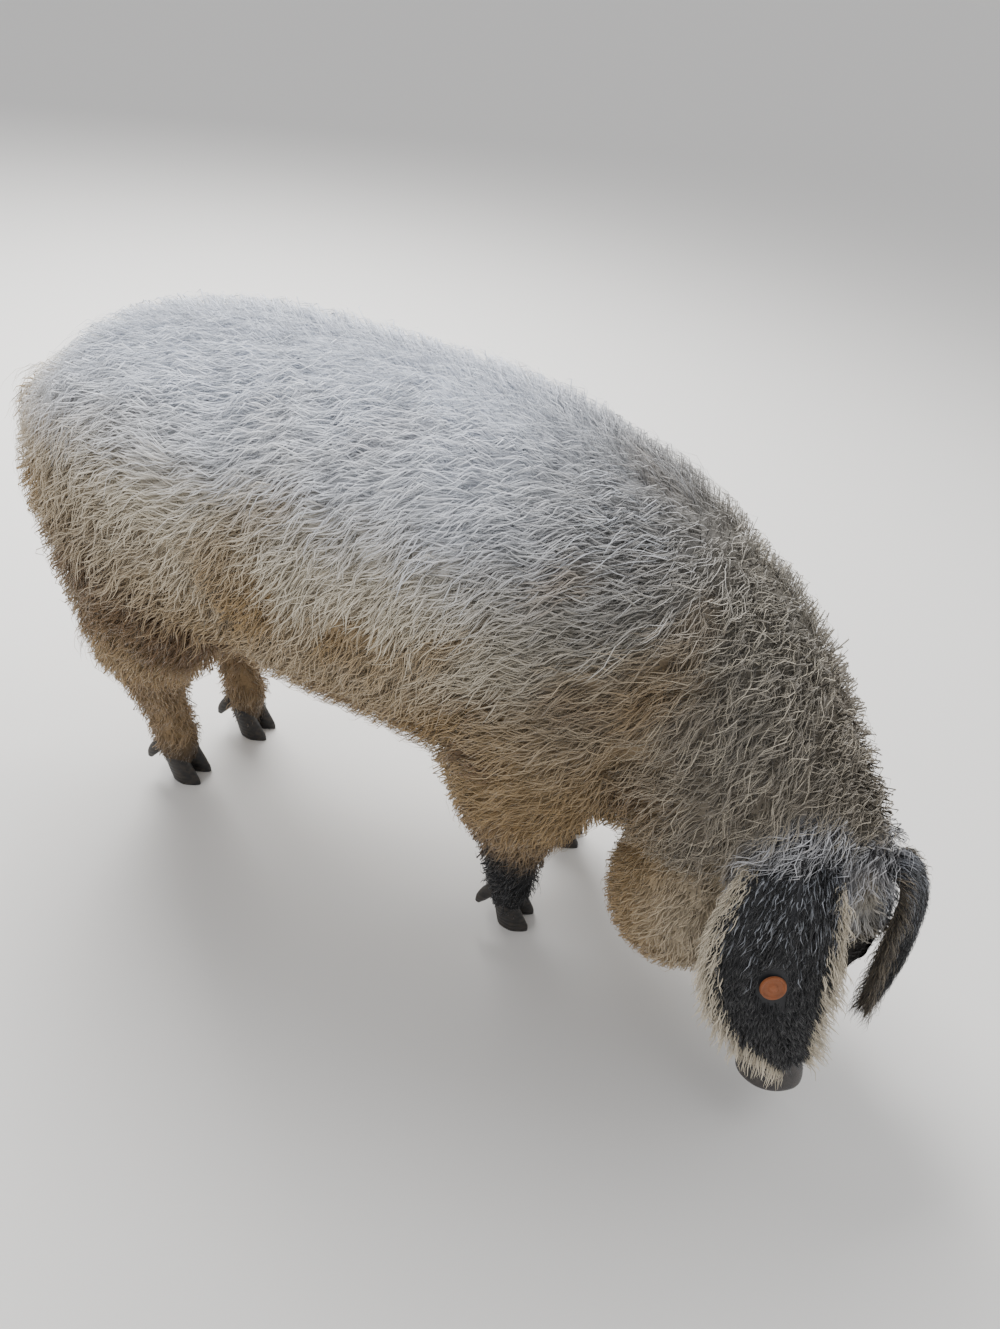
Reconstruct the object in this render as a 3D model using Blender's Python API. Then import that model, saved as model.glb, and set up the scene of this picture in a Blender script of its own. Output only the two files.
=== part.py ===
"""A mangalica sow at life size, standing still with her head down and turned to her right.

Metres, +Z up. +X runs along the body towards the head and +Y to the sow's left. The shapes are
laid out from the midpoint between the hind feet. At the end everything is moved so that the
origin lies on the floor under the middle of the whole outline.
"""

import math
import random

import bmesh
import bpy
import numpy as np
from mathutils import Matrix, Quaternion, Vector
from mathutils.bvhtree import BVHTree

# Clearance between solids that touch.
GAP = 0.0003

# The dense coat: the core stands this far off the skin, and the tips of the locks further.
CORE_DEPTH = 0.016
FACE_DEPTH = 0.004

# How finely the fused body is remeshed, smoothed and thinned.
VOXEL = 0.013
SMOOTH_STEPS = 5
CORE_TRIANGLES = 4000
COAT_TRIANGLES = 7100

# Locks of the coat by region: spacing of their roots, length, half width, half thickness, how
# high the tip stands off the core, how far the lock swings from its lie, and bends along it.
LOCKS = {
    "torso": (0.074, 0.158, 0.036, 0.0120, 0.027, 0.50, 0.9),
    "neck": (0.065, 0.118, 0.030, 0.0120, 0.027, 1.00, 0.7),
    "leg": (0.064, 0.100, 0.025, 0.0085, 0.014, 0.35, 0.8),
    "cheek": (0.055, 0.085, 0.023, 0.0090, 0.017, 0.45, 0.8),
    "brow": (0.050, 0.075, 0.021, 0.0070, 0.014, 0.40, 0.7),
}
LOCK_SEED = 11
LOCK_TRIES = 12000

# One lock from root to tip: share of its length, of its width, of its thickness, and how high its
# middle lies between the sunk root and the lifted tip.
LOCK_RINGS = (
    (0.00, 0.55, 0.60, -1.0),
    (0.20, 0.92, 1.00, 0.14),
    (0.50, 1.00, 0.95, 0.58),
    (0.78, 0.66, 0.75, 0.82),
    (1.00, 0.00, 0.00, 1.00),
)
LOCK_SINK = 0.012
LOCK_SECTION = ((1.0, -0.75), (0.58, 0.85), (-0.50, 1.0), (-1.0, -0.70))
LEG_LOCK_LOW = 0.105
LEG_LOCK_END = 0.052
EAR_BARE = 0.035

# Torso skin: x, back height, belly height, half width.
TORSO = (
    (-0.246, 0.645, 0.560, 0.050),
    (-0.226, 0.700, 0.510, 0.105),
    (-0.180, 0.748, 0.455, 0.155),
    (-0.110, 0.785, 0.415, 0.190),
    (0.000, 0.814, 0.390, 0.210),
    (0.130, 0.830, 0.372, 0.217),
    (0.260, 0.832, 0.355, 0.220),
    (0.390, 0.824, 0.335, 0.220),
    (0.500, 0.798, 0.310, 0.216),
    (0.600, 0.760, 0.295, 0.205),
    (0.700, 0.708, 0.292, 0.175),
    (0.770, 0.650, 0.335, 0.135),
)

# Neck skin along its middle line: x, y, z, half width, half height.
NECK = (
    (0.600, 0.000, 0.530, 0.190, 0.212),
    (0.690, -0.010, 0.500, 0.185, 0.204),
    (0.770, -0.028, 0.457, 0.172, 0.184),
    (0.835, -0.050, 0.415, 0.158, 0.162),
    (0.890, -0.075, 0.375, 0.142, 0.142),
    (0.930, -0.100, 0.340, 0.125, 0.125),
)

# Right hind leg skin: x, y, z, half length, half width.
HIND_LEG = (
    (-0.040, -0.100, 0.640, 0.105, 0.070),
    (-0.042, -0.108, 0.560, 0.138, 0.095),
    (-0.042, -0.113, 0.480, 0.130, 0.096),
    (-0.052, -0.112, 0.400, 0.104, 0.083),
    (-0.070, -0.104, 0.330, 0.074, 0.063),
    (-0.082, -0.092, 0.270, 0.056, 0.047),
    (-0.082, -0.080, 0.210, 0.043, 0.035),
    (-0.076, -0.070, 0.140, 0.032, 0.029),
    (-0.070, -0.063, 0.085, 0.035, 0.034),
    (-0.066, -0.060, 0.045, 0.027, 0.029),
)

# Right fore leg skin: x, y, z, half length, half width.
FORE_LEG = (
    (0.560, -0.120, 0.560, 0.120, 0.080),
    (0.555, -0.135, 0.460, 0.135, 0.092),
    (0.545, -0.140, 0.370, 0.115, 0.080),
    (0.546, -0.133, 0.295, 0.085, 0.066),
    (0.552, -0.122, 0.230, 0.060, 0.050),
    (0.558, -0.114, 0.170, 0.044, 0.038),
    (0.564, -0.109, 0.115, 0.034, 0.032),
    (0.566, -0.107, 0.075, 0.036, 0.035),
    (0.568, -0.107, 0.045, 0.028, 0.030),
)

# Where each foot stands, and how high up its leg follows it.
HIND_FOOT = (-0.057, -0.060)
FORE_FOOT = (0.577, -0.107)
LEFT_HIND_FOOT = (-0.009, 0.090)
LEFT_FORE_FOOT = (0.612, 0.100)
LEG_SWING_TOP = 0.40

# Head: the poll, the direction of the face, and the line from her right ear to her left.
POLL = Vector((1.015, -0.168, 0.390))
FACE = Vector((0.150, -0.438, -0.886)).normalized()
ACROSS = Vector((0.828, 0.533, -0.177))

# Head skin down the face: distance from the poll, depth of the middle line under the poll,
# half width, half height.
HEAD = (
    (-0.075, 0.130, 0.085, 0.085),
    (-0.045, 0.122, 0.106, 0.106),
    (0.000, 0.118, 0.116, 0.117),
    (0.050, 0.119, 0.119, 0.118),
    (0.100, 0.122, 0.108, 0.110),
    (0.145, 0.122, 0.088, 0.092),
    (0.190, 0.117, 0.068, 0.073),
    (0.235, 0.108, 0.055, 0.058),
    (0.275, 0.100, 0.048, 0.050),
    (0.305, 0.096, 0.045, 0.046),
    (0.325, 0.094, 0.043, 0.043),
)

# Jowls: distance down the face, offset to her left, depth under the poll, radius.
JOWLS = (
    (0.090, -0.130, 0.208, 0.106),
    (0.055, 0.070, 0.165, 0.080),
)

# Where the body is parted.
HEAD_CUT = -0.035
NECK_CUT_X = 0.66
LEG_CUT_SLOPE = 0.50
LEG_CUTS = (
    ("hind_leg_right", -0.06, 0.340, 0.14, -1),
    ("hind_leg_left", -0.06, 0.340, 0.14, 1),
    ("fore_leg_right", 0.56, 0.255, 0.24, -1),
    ("fore_leg_left", 0.56, 0.255, 0.24, 1),
)

# Lower jaw skin: distance down the face, depth under the poll, half width, half height.
JAW = (
    (0.090, 0.172, 0.070, 0.062),
    (0.160, 0.163, 0.050, 0.042),
    (0.225, 0.152, 0.037, 0.030),
    (0.288, 0.144, 0.028, 0.022),
)

# Snout plate at the end of the face: distance down the face, half width, half height.
SNOUT_CUT = 0.308
SNOUT = (
    (0.3083, 0.0430, 0.0400),
    (0.3180, 0.0465, 0.0430),
    (0.3300, 0.0465, 0.0430),
    (0.3370, 0.0420, 0.0385),
)
SNOUT_DEPTH = 0.094
NOSTRIL_OFFSET = 0.0175
NOSTRIL_SIZES = (0.016, 0.0075, 0.0095)

# Eyes: distance down the face, offset from the middle, depth under the poll, radius of the ball.
EYE = (0.120, 0.079, 0.064)
EYE_RADIUS = 0.0135
LID_RADIUS = 0.0050
LID_HALF_WIDTH = 0.0165
LID_OPENING = 0.0085

# Mouth line along the sides of the muzzle: distance down the face, depth under the poll.
MOUTH = ((0.158, 0.150), (0.200, 0.141), (0.245, 0.135), (0.290, 0.132), (0.330, 0.131))
MOUTH_GROOVE = (0.0090, 0.0016)
LIP_RADIUS = 0.0042

# Ears, down the middle line: distance down the face, offset from the middle, depth under the
# poll, half width. The slant is how far the outer edge falls towards the cheek.
EAR_RIGHT = (
    (-0.020, 0.058, 0.055, 0.040),
    (-0.022, 0.090, 0.020, 0.055),
    (0.022, 0.112, 0.002, 0.074),
    (0.095, 0.119, 0.004, 0.084),
    (0.172, 0.097, 0.008, 0.067),
    (0.246, 0.050, 0.006, 0.014),
)
EAR_LEFT = (
    (-0.020, 0.058, 0.055, 0.038),
    (-0.018, 0.088, 0.024, 0.052),
    (0.020, 0.110, 0.018, 0.068),
    (0.078, 0.119, 0.026, 0.074),
    (0.138, 0.114, 0.034, 0.056),
    (0.195, 0.100, 0.040, 0.012),
)
EAR_SLANTS = (0.39, 0.62)
EAR_CUPS = (0.022, 0.020)
EAR_THICKNESS = 0.0075
EAR_AROUND = 7
EAR_CUT_STEP = 4
EAR_TRIANGLES = 860
EAR_CLEARANCE = 0.0022

# Fringe of the ears: how far along the ear and on which edge each lock grows, and its size.
FRINGE_PLACES = (
    (0.38, 1),
    (0.50, 1),
    (0.62, 1),
    (0.75, 1),
    (0.88, 1),
    (0.36, -1),
    (0.48, -1),
    (0.60, -1),
    (0.73, -1),
    (0.86, -1),
    (0.96, 0),
)
FRINGE_RINGS = ((0.0, 0.8), (0.35, 1.0), (0.70, 0.7), (1.0, 0.0))
FRINGE_LENGTH = 0.058
FRINGE_HALF_WIDTH = 0.012
FRINGE_THICKNESS = 0.0042
FRINGE_SEED = 5

# Ear tag on the right ear: where along and across the ear, the button and its pin.
TAG_ALONG = 0.66
TAG_ACROSS = 0.02
TAG_RADIUS = 0.0168
TAG_THICKNESS = 0.0032
TAG_PIN_RADIUS = 0.0030
TAG_BACK_RADIUS = 0.0120

# Toes: height, offset forward of the foot's place, half length, half width.
TOE = (
    (0.000, 0.0125, 0.0265, 0.0135),
    (0.010, 0.0100, 0.0270, 0.0145),
    (0.026, 0.0030, 0.0245, 0.0145),
    (0.044, -0.0050, 0.0210, 0.0140),
    (0.066, -0.0110, 0.0180, 0.0130),
)
TOE_PINCH = 0.40
TOE_OFFSET = 0.0180
CORONET = 0.031
CORONET_SLOPE = 0.28

# Dewclaws: offset forward of the foot's place, offset sideways, height, radius.
DEWCLAW = (
    (-0.021, 0.0160, 0.083, 0.0115),
    (-0.038, 0.0205, 0.068, 0.0115),
    (-0.048, 0.0245, 0.052, 0.0092),
    (-0.0525, 0.0265, 0.040, 0.0048),
)
DEWCLAW_CUT = 0.056
DEWCLAW_CLEARANCE = 0.0008

# Tail: middle line and radius.
TAIL = (
    (-0.215, 0.004, 0.650, 0.026),
    (-0.255, 0.006, 0.650, 0.023),
    (-0.298, 0.012, 0.632, 0.019),
    (-0.318, 0.020, 0.588, 0.016),
    (-0.322, 0.028, 0.535, 0.014),
    (-0.318, 0.034, 0.480, 0.013),
    (-0.312, 0.033, 0.440, 0.011),
)
TAIL_CUT_X = -0.288
TUFT_LOCKS = 8
TUFT_LENGTH = 0.105
TUFT_HALF_WIDTH = 0.014
TUFT_THICKNESS = 0.012
TUFT_SEED = 3
TAIL_TRIANGLES = 520

# Colours: cream coat, tan flanks, dark skin and horn, and the orange tag.
CREAM = (0.62, 0.56, 0.47)
TAN = (0.46, 0.32, 0.18)
SLATE = (0.045, 0.045, 0.055)
HORN = (0.035, 0.032, 0.030)
ORANGE = (0.62, 0.17, 0.04)
EYE_BROWN = (0.020, 0.011, 0.006)


def clear_scene():
    for obj in list(bpy.data.objects):
        bpy.data.objects.remove(obj, do_unlink=True)


def unit(vector):
    return Vector(vector).normalized()


def head_axes():
    """Down the face, to her left, and out of the forehead, at right angles to one another."""
    left = (ACROSS - FACE * ACROSS.dot(FACE)).normalized()
    return FACE, left, FACE.cross(left)


def head_point(down, left, depth):
    face, side, brow = head_axes()
    return POLL + face * down + side * left - brow * depth


def make(name, points, faces):
    """An object from points and faces, with its faces turned outwards."""
    mesh = bpy.data.meshes.new(name)
    mesh.from_pydata([tuple(p) for p in points], [], faces)
    mesh.validate()
    obj = bpy.data.objects.new(name, mesh)
    bpy.context.scene.collection.objects.link(obj)
    turn_out(mesh)
    return obj


def volume_of(mesh):
    mesh.calc_loop_triangles()
    points = np.empty(len(mesh.vertices) * 3)
    mesh.vertices.foreach_get("co", points)
    faces = np.empty(len(mesh.loop_triangles) * 3, np.int32)
    mesh.loop_triangles.foreach_get("vertices", faces)
    corners = points.reshape(-1, 3)[faces.reshape(-1, 3)]
    return np.einsum("ij,ij->i", corners[:, 0], np.cross(corners[:, 1], corners[:, 2])).sum() / 6


def turn_out(mesh):
    if volume_of(mesh) < 0:
        mesh.flip_normals()


def bake(obj):
    """Applies the object's modifiers."""
    graph = bpy.context.evaluated_depsgraph_get()
    mesh = bpy.data.meshes.new_from_object(obj.evaluated_get(graph))
    obj.modifiers.clear()
    obj.data = mesh
    mesh.name = obj.name
    return obj


def split_faces(obj):
    """Splits every face into triangles, so that no bent face is read in two ways."""
    mesh = bmesh.new()
    mesh.from_mesh(obj.data)
    bmesh.ops.triangulate(mesh, faces=mesh.faces[:])
    mesh.to_mesh(obj.data)
    mesh.free()
    return obj


def thin_to(obj, triangles):
    """Thins the mesh to this many triangles, the flattest places first."""
    split_faces(obj)
    thin = obj.modifiers.new("thin", "DECIMATE")
    thin.ratio = triangles / len(obj.data.polygons)
    return bake(obj)


def boolean(obj, others, operation):
    """Joins, cuts or crosses the object with the others in one step, and removes them. The solver
    is MANIFOLD, because EXACT takes many minutes on a node with a hundred crossing locks."""
    group = bpy.data.collections.new("others")
    split_faces(obj)
    for other in others:
        group.objects.link(split_faces(other))
    modifier = obj.modifiers.new("boolean", "BOOLEAN")
    modifier.operation = operation
    modifier.operand_type = "COLLECTION"
    modifier.collection = group
    modifier.solver = "MANIFOLD"
    bpy.context.view_layer.update()
    bake(obj)
    for other in others:
        bpy.data.objects.remove(other, do_unlink=True)
    bpy.data.collections.remove(group)
    return obj


def copy_of(obj, name):
    other = bpy.data.objects.new(name, obj.data.copy())
    bpy.context.scene.collection.objects.link(other)
    return other


def keep_largest(obj):
    """Keeps the largest closed surface of the object."""
    mesh = obj.data
    parent = list(range(len(mesh.vertices)))

    def root(i):
        while parent[i] != i:
            parent[i] = parent[parent[i]]
            i = parent[i]
        return i

    for edge in mesh.edges:
        a, b = (root(i) for i in edge.vertices)
        if a != b:
            parent[a] = b
    groups = {}
    for face in mesh.polygons:
        groups.setdefault(root(face.vertices[0]), []).append(tuple(face.vertices))
    points = np.array([v.co for v in mesh.vertices])
    best = max(groups.values(), key=lambda faces: signed_volume(points, faces))
    used = sorted({i for face in best for i in face})
    place = {old: new for new, old in enumerate(used)}
    kept = bpy.data.meshes.new(obj.name)
    kept.from_pydata(points[used].tolist(), [], [[place[i] for i in face] for face in best])
    obj.data = kept
    return obj


def signed_volume(points, faces):
    total = 0.0
    for face in faces:
        for i in range(1, len(face) - 1):
            a, b, c = points[face[0]], points[face[i]], points[face[i + 1]]
            total += float(np.dot(a, np.cross(b, c)))
    return total


def flowing(rows, steps):
    """Rows of numbers with a smooth run of rows between each two (Catmull-Rom)."""
    rows = np.array(rows, float)
    padded = np.vstack([2 * rows[0] - rows[1], rows, 2 * rows[-1] - rows[-2]])
    out = []
    for i in range(1, len(padded) - 2):
        a, b, c, d = padded[i - 1 : i + 3]
        for step in range(steps):
            t = step / steps
            out.append(
                0.5
                * (
                    2 * b
                    + (c - a) * t
                    + (2 * a - 5 * b + 4 * c - d) * t**2
                    + (3 * b - a - 3 * c + d) * t**3
                )
            )
    out.append(rows[-1])
    return np.array(out)


def loft(name, rows, side, power=2.3, around=20, steps=3, level=False):
    """A closed tube of rounded-oblong sections. Rows: x, y, z, half size along side, half size
    across it. The sections lie across the line, or level."""
    rows = flowing(rows, steps)
    tangents = np.gradient(rows[:, :3], axis=0)
    if level:
        tangents[:] = (0, 0, 1)
    points = []
    for row, tangent in zip(rows, tangents):
        forward = unit(tangent)
        across = unit(Vector(side) - forward * Vector(side).dot(forward))
        up = forward.cross(across)
        for i in range(around):
            angle = 2 * math.pi * i / around
            c, s = math.cos(angle), math.sin(angle)
            out = (abs(c) ** power + abs(s) ** power) ** (-1 / power)
            points.append(Vector(row[:3]) + across * (out * c * row[3]) + up * (out * s * row[4]))
    return make(name, points, tube_faces(len(rows), around))


def tube_faces(rings, around):
    faces = [list(range(around))[::-1]]
    for ring in range(rings - 1):
        for i in range(around):
            j = (i + 1) % around
            low, high = ring * around, (ring + 1) * around
            faces.append([low + i, low + j, high + j, high + i])
    faces.append(list(range((rings - 1) * around, rings * around)))
    return faces


def ellipsoid(name, centre, axes, sizes, rings=10, around=16):
    """A rounded lump. The three axes are unit vectors."""
    points = []
    for ring in range(rings + 1):
        polar = math.pi * (0.02 + 0.96 * ring / rings)
        for i in range(around):
            angle = 2 * math.pi * i / around
            a = math.sin(polar) * math.cos(angle) * sizes[0]
            b = math.sin(polar) * math.sin(angle) * sizes[1]
            c = math.cos(polar) * sizes[2]
            points.append(Vector(centre) + axes[0] * a + axes[1] * b + axes[2] * c)
    return make(name, points, tube_faces(rings + 1, around))


def block(name, origin, axes, low, high):
    """A box in its own axes, between two corners."""
    points = []
    for a in (low[0], high[0]):
        for b, c in ((low[1], low[2]), (high[1], low[2]), (high[1], high[2]), (low[1], high[2])):
            points.append(Vector(origin) + axes[0] * a + axes[1] * b + axes[2] * c)
    return make(name, points, tube_faces(2, 4))


def part_off(obj, name, origin, axes, low, high):
    """Takes what lies inside a box out of the object as a new one, with a thin gap between them."""
    piece = copy_of(obj, name)
    boolean(piece, [block("cell", origin, axes, low, high)], "INTERSECT")
    low = [v - GAP for v in low]
    high = [v + GAP for v in high]
    boolean(obj, [block("cell", origin, axes, low, high)], "DIFFERENCE")
    return keep_largest(piece)


# Locks of the coat.


def surface_tree(obj):
    points = [v.co.copy() for v in obj.data.vertices]
    faces = [tuple(face.vertices) for face in obj.data.polygons]
    return BVHTree.FromPolygons(points, faces)


def scattered(obj, rng):
    """Points spread by chance over the surface, with their normals."""
    faces = [(face.area, face) for face in obj.data.polygons]
    picked = rng.choices([face for area, face in faces], [area for area, face in faces], k=LOCK_TRIES)
    for face in picked:
        a, b, c = (obj.data.vertices[i].co for i in face.vertices[:3])
        u, v = rng.random(), rng.random()
        if u + v > 1:
            u, v = 1 - u, 1 - v
        yield a + (b - a) * u + (c - a) * v, face.normal.copy()


def head_place(point):
    """How far a point lies down the face, towards her left, and under the poll."""
    face, left, brow = head_axes()
    offset = point - POLL
    return offset.dot(face), offset.dot(left), -offset.dot(brow)


def region_at(point, normal):
    """The part of the coat that a point lies in, or None where the hair is short."""
    down, _, depth = head_place(point)
    if down > -0.02 and point.x > 0.80:
        if down < 0.03 and depth < 0.05:
            return "brow"
        on_jowl = (point - head_point(*JOWLS[0][:3])).length < JOWLS[0][3] + 0.03
        if down < 0.075 or (on_jowl and down < 0.16):
            return "cheek"
        return None
    if point.z < LEG_LOCK_LOW:
        return None
    if point.z < 0.33 and point.x < 0.70:
        return "leg"
    if point.x > NECK_CUT_X + 0.02:
        return "neck"
    return "torso"


def lie_at(point, normal, region):
    """The way the coat lies: back along the body, down over flanks and legs, forward on the brow."""
    face, left, _ = head_axes()
    side = 1.0 if point.y > 0 else -1.0
    if region == "brow":
        return face + left * (0.25 if head_place(point)[1] > 0 else -0.25)
    if region == "cheek":
        return Vector((-0.35, 0.0, -1.0))
    if region == "leg":
        return Vector((-0.15, 0.0, -1.0))
    if region == "neck":
        return Vector((-0.75, 0.45 * side, -0.55))
    if point.x < -0.12:
        return Vector((-0.35, 0.15 * side, -1.0))
    if normal.z > 0.75:
        return Vector((-1.0, 0.50 * side, -0.1))
    if normal.z < -0.5:
        return Vector((-1.0, 0.0, 0.0))
    return Vector((-0.75, 0.0, -0.75))


def lock(tree, start, region, rng):
    """A flat, tapered lock that leaves the core at its root, bends along its lie and lifts at its
    tip."""
    _, length, half, thick, lift, swing, bends = LOCKS[region]
    size = rng.uniform(0.82, 1.18)
    length, half = length * size, half * rng.uniform(0.85, 1.15)
    length = min(length, start.z - LEG_LOCK_END)
    lift *= rng.uniform(0.75, 1.20)
    phase = rng.uniform(0, 2 * math.pi)
    swing *= rng.choice((-1, 1)) * rng.uniform(0.6, 1.2)
    point, normal, _, _ = tree.find_nearest(start)
    points, along = [], 0.0
    for share, width, depth, rise in LOCK_RINGS:
        step = (share - along) * length
        along = share
        angle = swing * math.sin(2 * math.pi * bends * share + phase)
        way = unit(lie_at(point, normal, region))
        way = unit(way - normal * way.dot(normal))
        way = Quaternion(normal, angle) @ way
        point, normal, index, distance = tree.find_nearest(point + way * step)
        height = rise * (LOCK_SINK if rise < 0 else lift)
        centre = point + normal * height
        across = way.cross(normal)
        if width == 0:
            points.append(centre)
            continue
        for a, b in LOCK_SECTION:
            points.append(centre + across * (a * half * width) + normal * (b * thick * depth))
    return make("lock", points, cone_faces(len(LOCK_RINGS) - 1, len(LOCK_SECTION)))


def cone_faces(rings, around):
    """Faces of a tube that ends in a point."""
    faces = tube_faces(rings, around)[:-1]
    last = (rings - 1) * around
    for i in range(around):
        faces.append([last + i, last + (i + 1) % around, rings * around])
    return faces


def body_locks(body):
    """Locks all over the core, rooted in it at even distances."""
    rng = random.Random(LOCK_SEED)
    tree = surface_tree(body)
    ears = [ear_blade("ear", side) for side in (-1, 1)]
    ear_trees = [surface_tree(blade) for blade in ears]
    eyes_at = [head_point(EYE[0], side * EYE[1], EYE[2]) for side in (-1, 1)]
    roots, out = [], []
    for point, normal in scattered(body, rng):
        region = region_at(point, normal)
        if region is None or min((point - eye).length for eye in eyes_at) < 0.06:
            continue
        if min(ear_tree.find_nearest(point)[3] for ear_tree in ear_trees) < EAR_BARE:
            continue
        spacing = LOCKS[region][0]
        if any((point - other).length < spacing for other in roots):
            continue
        roots.append(point)
        out.append(lock(tree, point, region, rng))
    for blade in ears:
        bpy.data.objects.remove(blade, do_unlink=True)
    return out


# The skin's main forms, thickened by the depth of the coat's core.


def torso_form(depth):
    rows = []
    for x, back, belly, half in TORSO:
        middle = (back + belly) / 2
        rows.append((x, 0.0, middle, half + depth, (back - belly) / 2 + depth))
    return loft("torso_form", rows, (0, 1, 0), power=2.25, around=28)


def neck_form(depth):
    rows = [(x, y, z, w + depth, h + depth) for x, y, z, w, h in NECK]
    return loft("neck_form", rows, (0, 1, 0), power=2.15, around=24)


def leg_form(name, rows, foot, home, mirror, depth):
    """A leg whose lower part swings over to its foot."""
    out = []
    for x, y, z, length, width in rows:
        swing = max(0.0, min(1.0, (LEG_SWING_TOP - z) / (LEG_SWING_TOP - 0.05)))
        swing = swing * swing * (3 - 2 * swing)
        coat = depth * max(0.35, min(1.0, (z - 0.02) / 0.25))
        out.append(
            (
                x + swing * (foot[0] - home[0]),
                mirror * y + swing * (foot[1] - mirror * home[1]),
                z,
                length + coat,
                width + coat,
            )
        )
    return loft(name, out, (1, 0, 0), power=2.1, around=16)


def head_form(depth):
    _, left, _ = head_axes()
    rows = []
    for down, under, half, height in HEAD:
        coat = depth + (FACE_DEPTH - depth) * max(0.0, min(1.0, down / 0.12))
        place = head_point(down, 0.0, under)
        rows.append((*place, half + coat, height + coat))
    return loft("head_form", rows, left, power=2.2, around=20)


def jowl_forms(depth):
    face, left, brow = head_axes()
    out = []
    for down, side, under, radius in JOWLS:
        centre = head_point(down, side, under)
        size = radius + depth * 0.8
        out.append(ellipsoid("jowl", centre, (face, left, brow), (size, size * 0.9, size)))
    return out


def body_core():
    """All of the body's forms fused, remeshed and smoothed into one surface."""
    body = torso_form(CORE_DEPTH)
    forms = [
        neck_form(CORE_DEPTH),
        head_form(CORE_DEPTH),
        leg_form("leg", HIND_LEG, HIND_FOOT, HIND_FOOT, 1, CORE_DEPTH),
        leg_form("leg", HIND_LEG, LEFT_HIND_FOOT, HIND_FOOT, -1, CORE_DEPTH),
        leg_form("leg", FORE_LEG, FORE_FOOT, FORE_FOOT, 1, CORE_DEPTH),
        leg_form("leg", FORE_LEG, LEFT_FORE_FOOT, FORE_FOOT, -1, CORE_DEPTH),
    ]
    boolean(body, forms + [jaw_form(FACE_DEPTH)] + jowl_forms(CORE_DEPTH), "UNION")
    remesh = body.modifiers.new("remesh", "REMESH")
    remesh.mode = "VOXEL"
    remesh.voxel_size = VOXEL
    smooth = body.modifiers.new("smooth", "SMOOTH")
    smooth.factor = 0.5
    smooth.iterations = SMOOTH_STEPS
    thin_to(bake(body), CORE_TRIANGLES)
    boolean(body, body_locks(body), "UNION")
    body.name = "torso"
    return thin_to(body, COAT_TRIANGLES)


def head_cell():
    """The box that holds the head: origin, axes and two corners."""
    face, left, brow = head_axes()
    tilt = math.atan2(0.30, 0.94)
    axes = (
        face * math.cos(tilt) - brow * math.sin(tilt),
        left,
        face * math.sin(tilt) + brow * math.cos(tilt),
    )
    return head_point(HEAD_CUT, 0.0, 0.020), axes, (0.0, -0.24, -0.27), (0.50, 0.24, 0.20)


def part_body(body):
    """Cuts the body into torso, neck, head and legs."""
    head = part_off(body, "head", *head_cell())
    slope = math.atan2(0.24, 1.0)
    axes = (
        Vector((math.cos(slope), 0, math.sin(slope))),
        Vector((0, 1, 0)),
        Vector((-math.sin(slope), 0, math.cos(slope))),
    )
    neck = part_off(body, "neck", (NECK_CUT_X, 0, 0.53), axes, (0.0, -0.5, -0.4), (0.6, 0.5, 0.5))
    legs = []
    for name, x, height, ahead, side in LEG_CUTS:
        axes = (Vector((1, 0, 0)), Vector((0, 1, side * LEG_CUT_SLOPE)), Vector((0, 0, 1)))
        low, high = ((-0.30, 0.012, -0.60), (ahead, 0.40, 0.0))
        if side < 0:
            low, high = (low[0], -high[1], low[2]), (high[0], -low[1], high[2])
        legs.append(part_off(body, name, (x, 0, height), axes, low, high))
    body.name = "torso"
    return keep_largest(body), neck, head, legs


def head_solid(down, side, depth, sizes, **detail):
    """A rounded lump placed in the head's own directions."""
    return ellipsoid("lump", head_point(down, side, depth), head_axes(), sizes, **detail)


def half_width_at(down, depth):
    """Half the head's width at this distance down the face and depth under the poll."""
    rows = np.array([(d, u, w, h) for d, u, w, h in HEAD])
    middle, width, height = (np.interp(down, rows[:, 0], rows[:, i]) for i in (1, 2, 3))
    width, height = width + FACE_DEPTH, height + FACE_DEPTH
    part = min(1.0, abs(depth - middle) / height)
    return float(width * (1 - part**2.2) ** (1 / 2.2))


def jaw_form(depth):
    rows = [(*head_point(d, 0.0, u), w + depth, h + depth) for d, u, w, h in JAW]
    return loft("jaw", rows, head_axes()[1], power=2.1, around=16)


def mouth_paths(offset):
    """The mouth line on each side, raised or lowered by an offset."""
    for side in (-1, 1):
        path = []
        for down, depth in MOUTH:
            path.append(head_point(down, side * (half_width_at(down, depth) - 0.001), depth + offset))
        yield path


def tube(name, path, sizes, side, around=5):
    rows = [(*point, sizes[0], sizes[1]) for point in path]
    return loft(name, rows, side, power=2.0, around=around, steps=1)


def lids(side):
    """Upper and lower lid as two bowed ridges round the eye."""
    _, _, brow = head_axes()
    out = []
    for sign in (-1, 1):
        path = []
        for i in range(6):
            t = -1 + 2 * i / 5
            down = EYE[0] + t * LID_HALF_WIDTH
            depth = EYE[2] + sign * LID_OPENING * (1 - t * t) ** 0.5
            bulge = 0.0105 * (1 - t * t) ** 0.5
            path.append(head_point(down, side * (EYE[1] + 0.001 + bulge * 0.9), depth))
        out.append(tube("lid", path, (LID_RADIUS, LID_RADIUS), brow, around=4))
    return out


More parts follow.
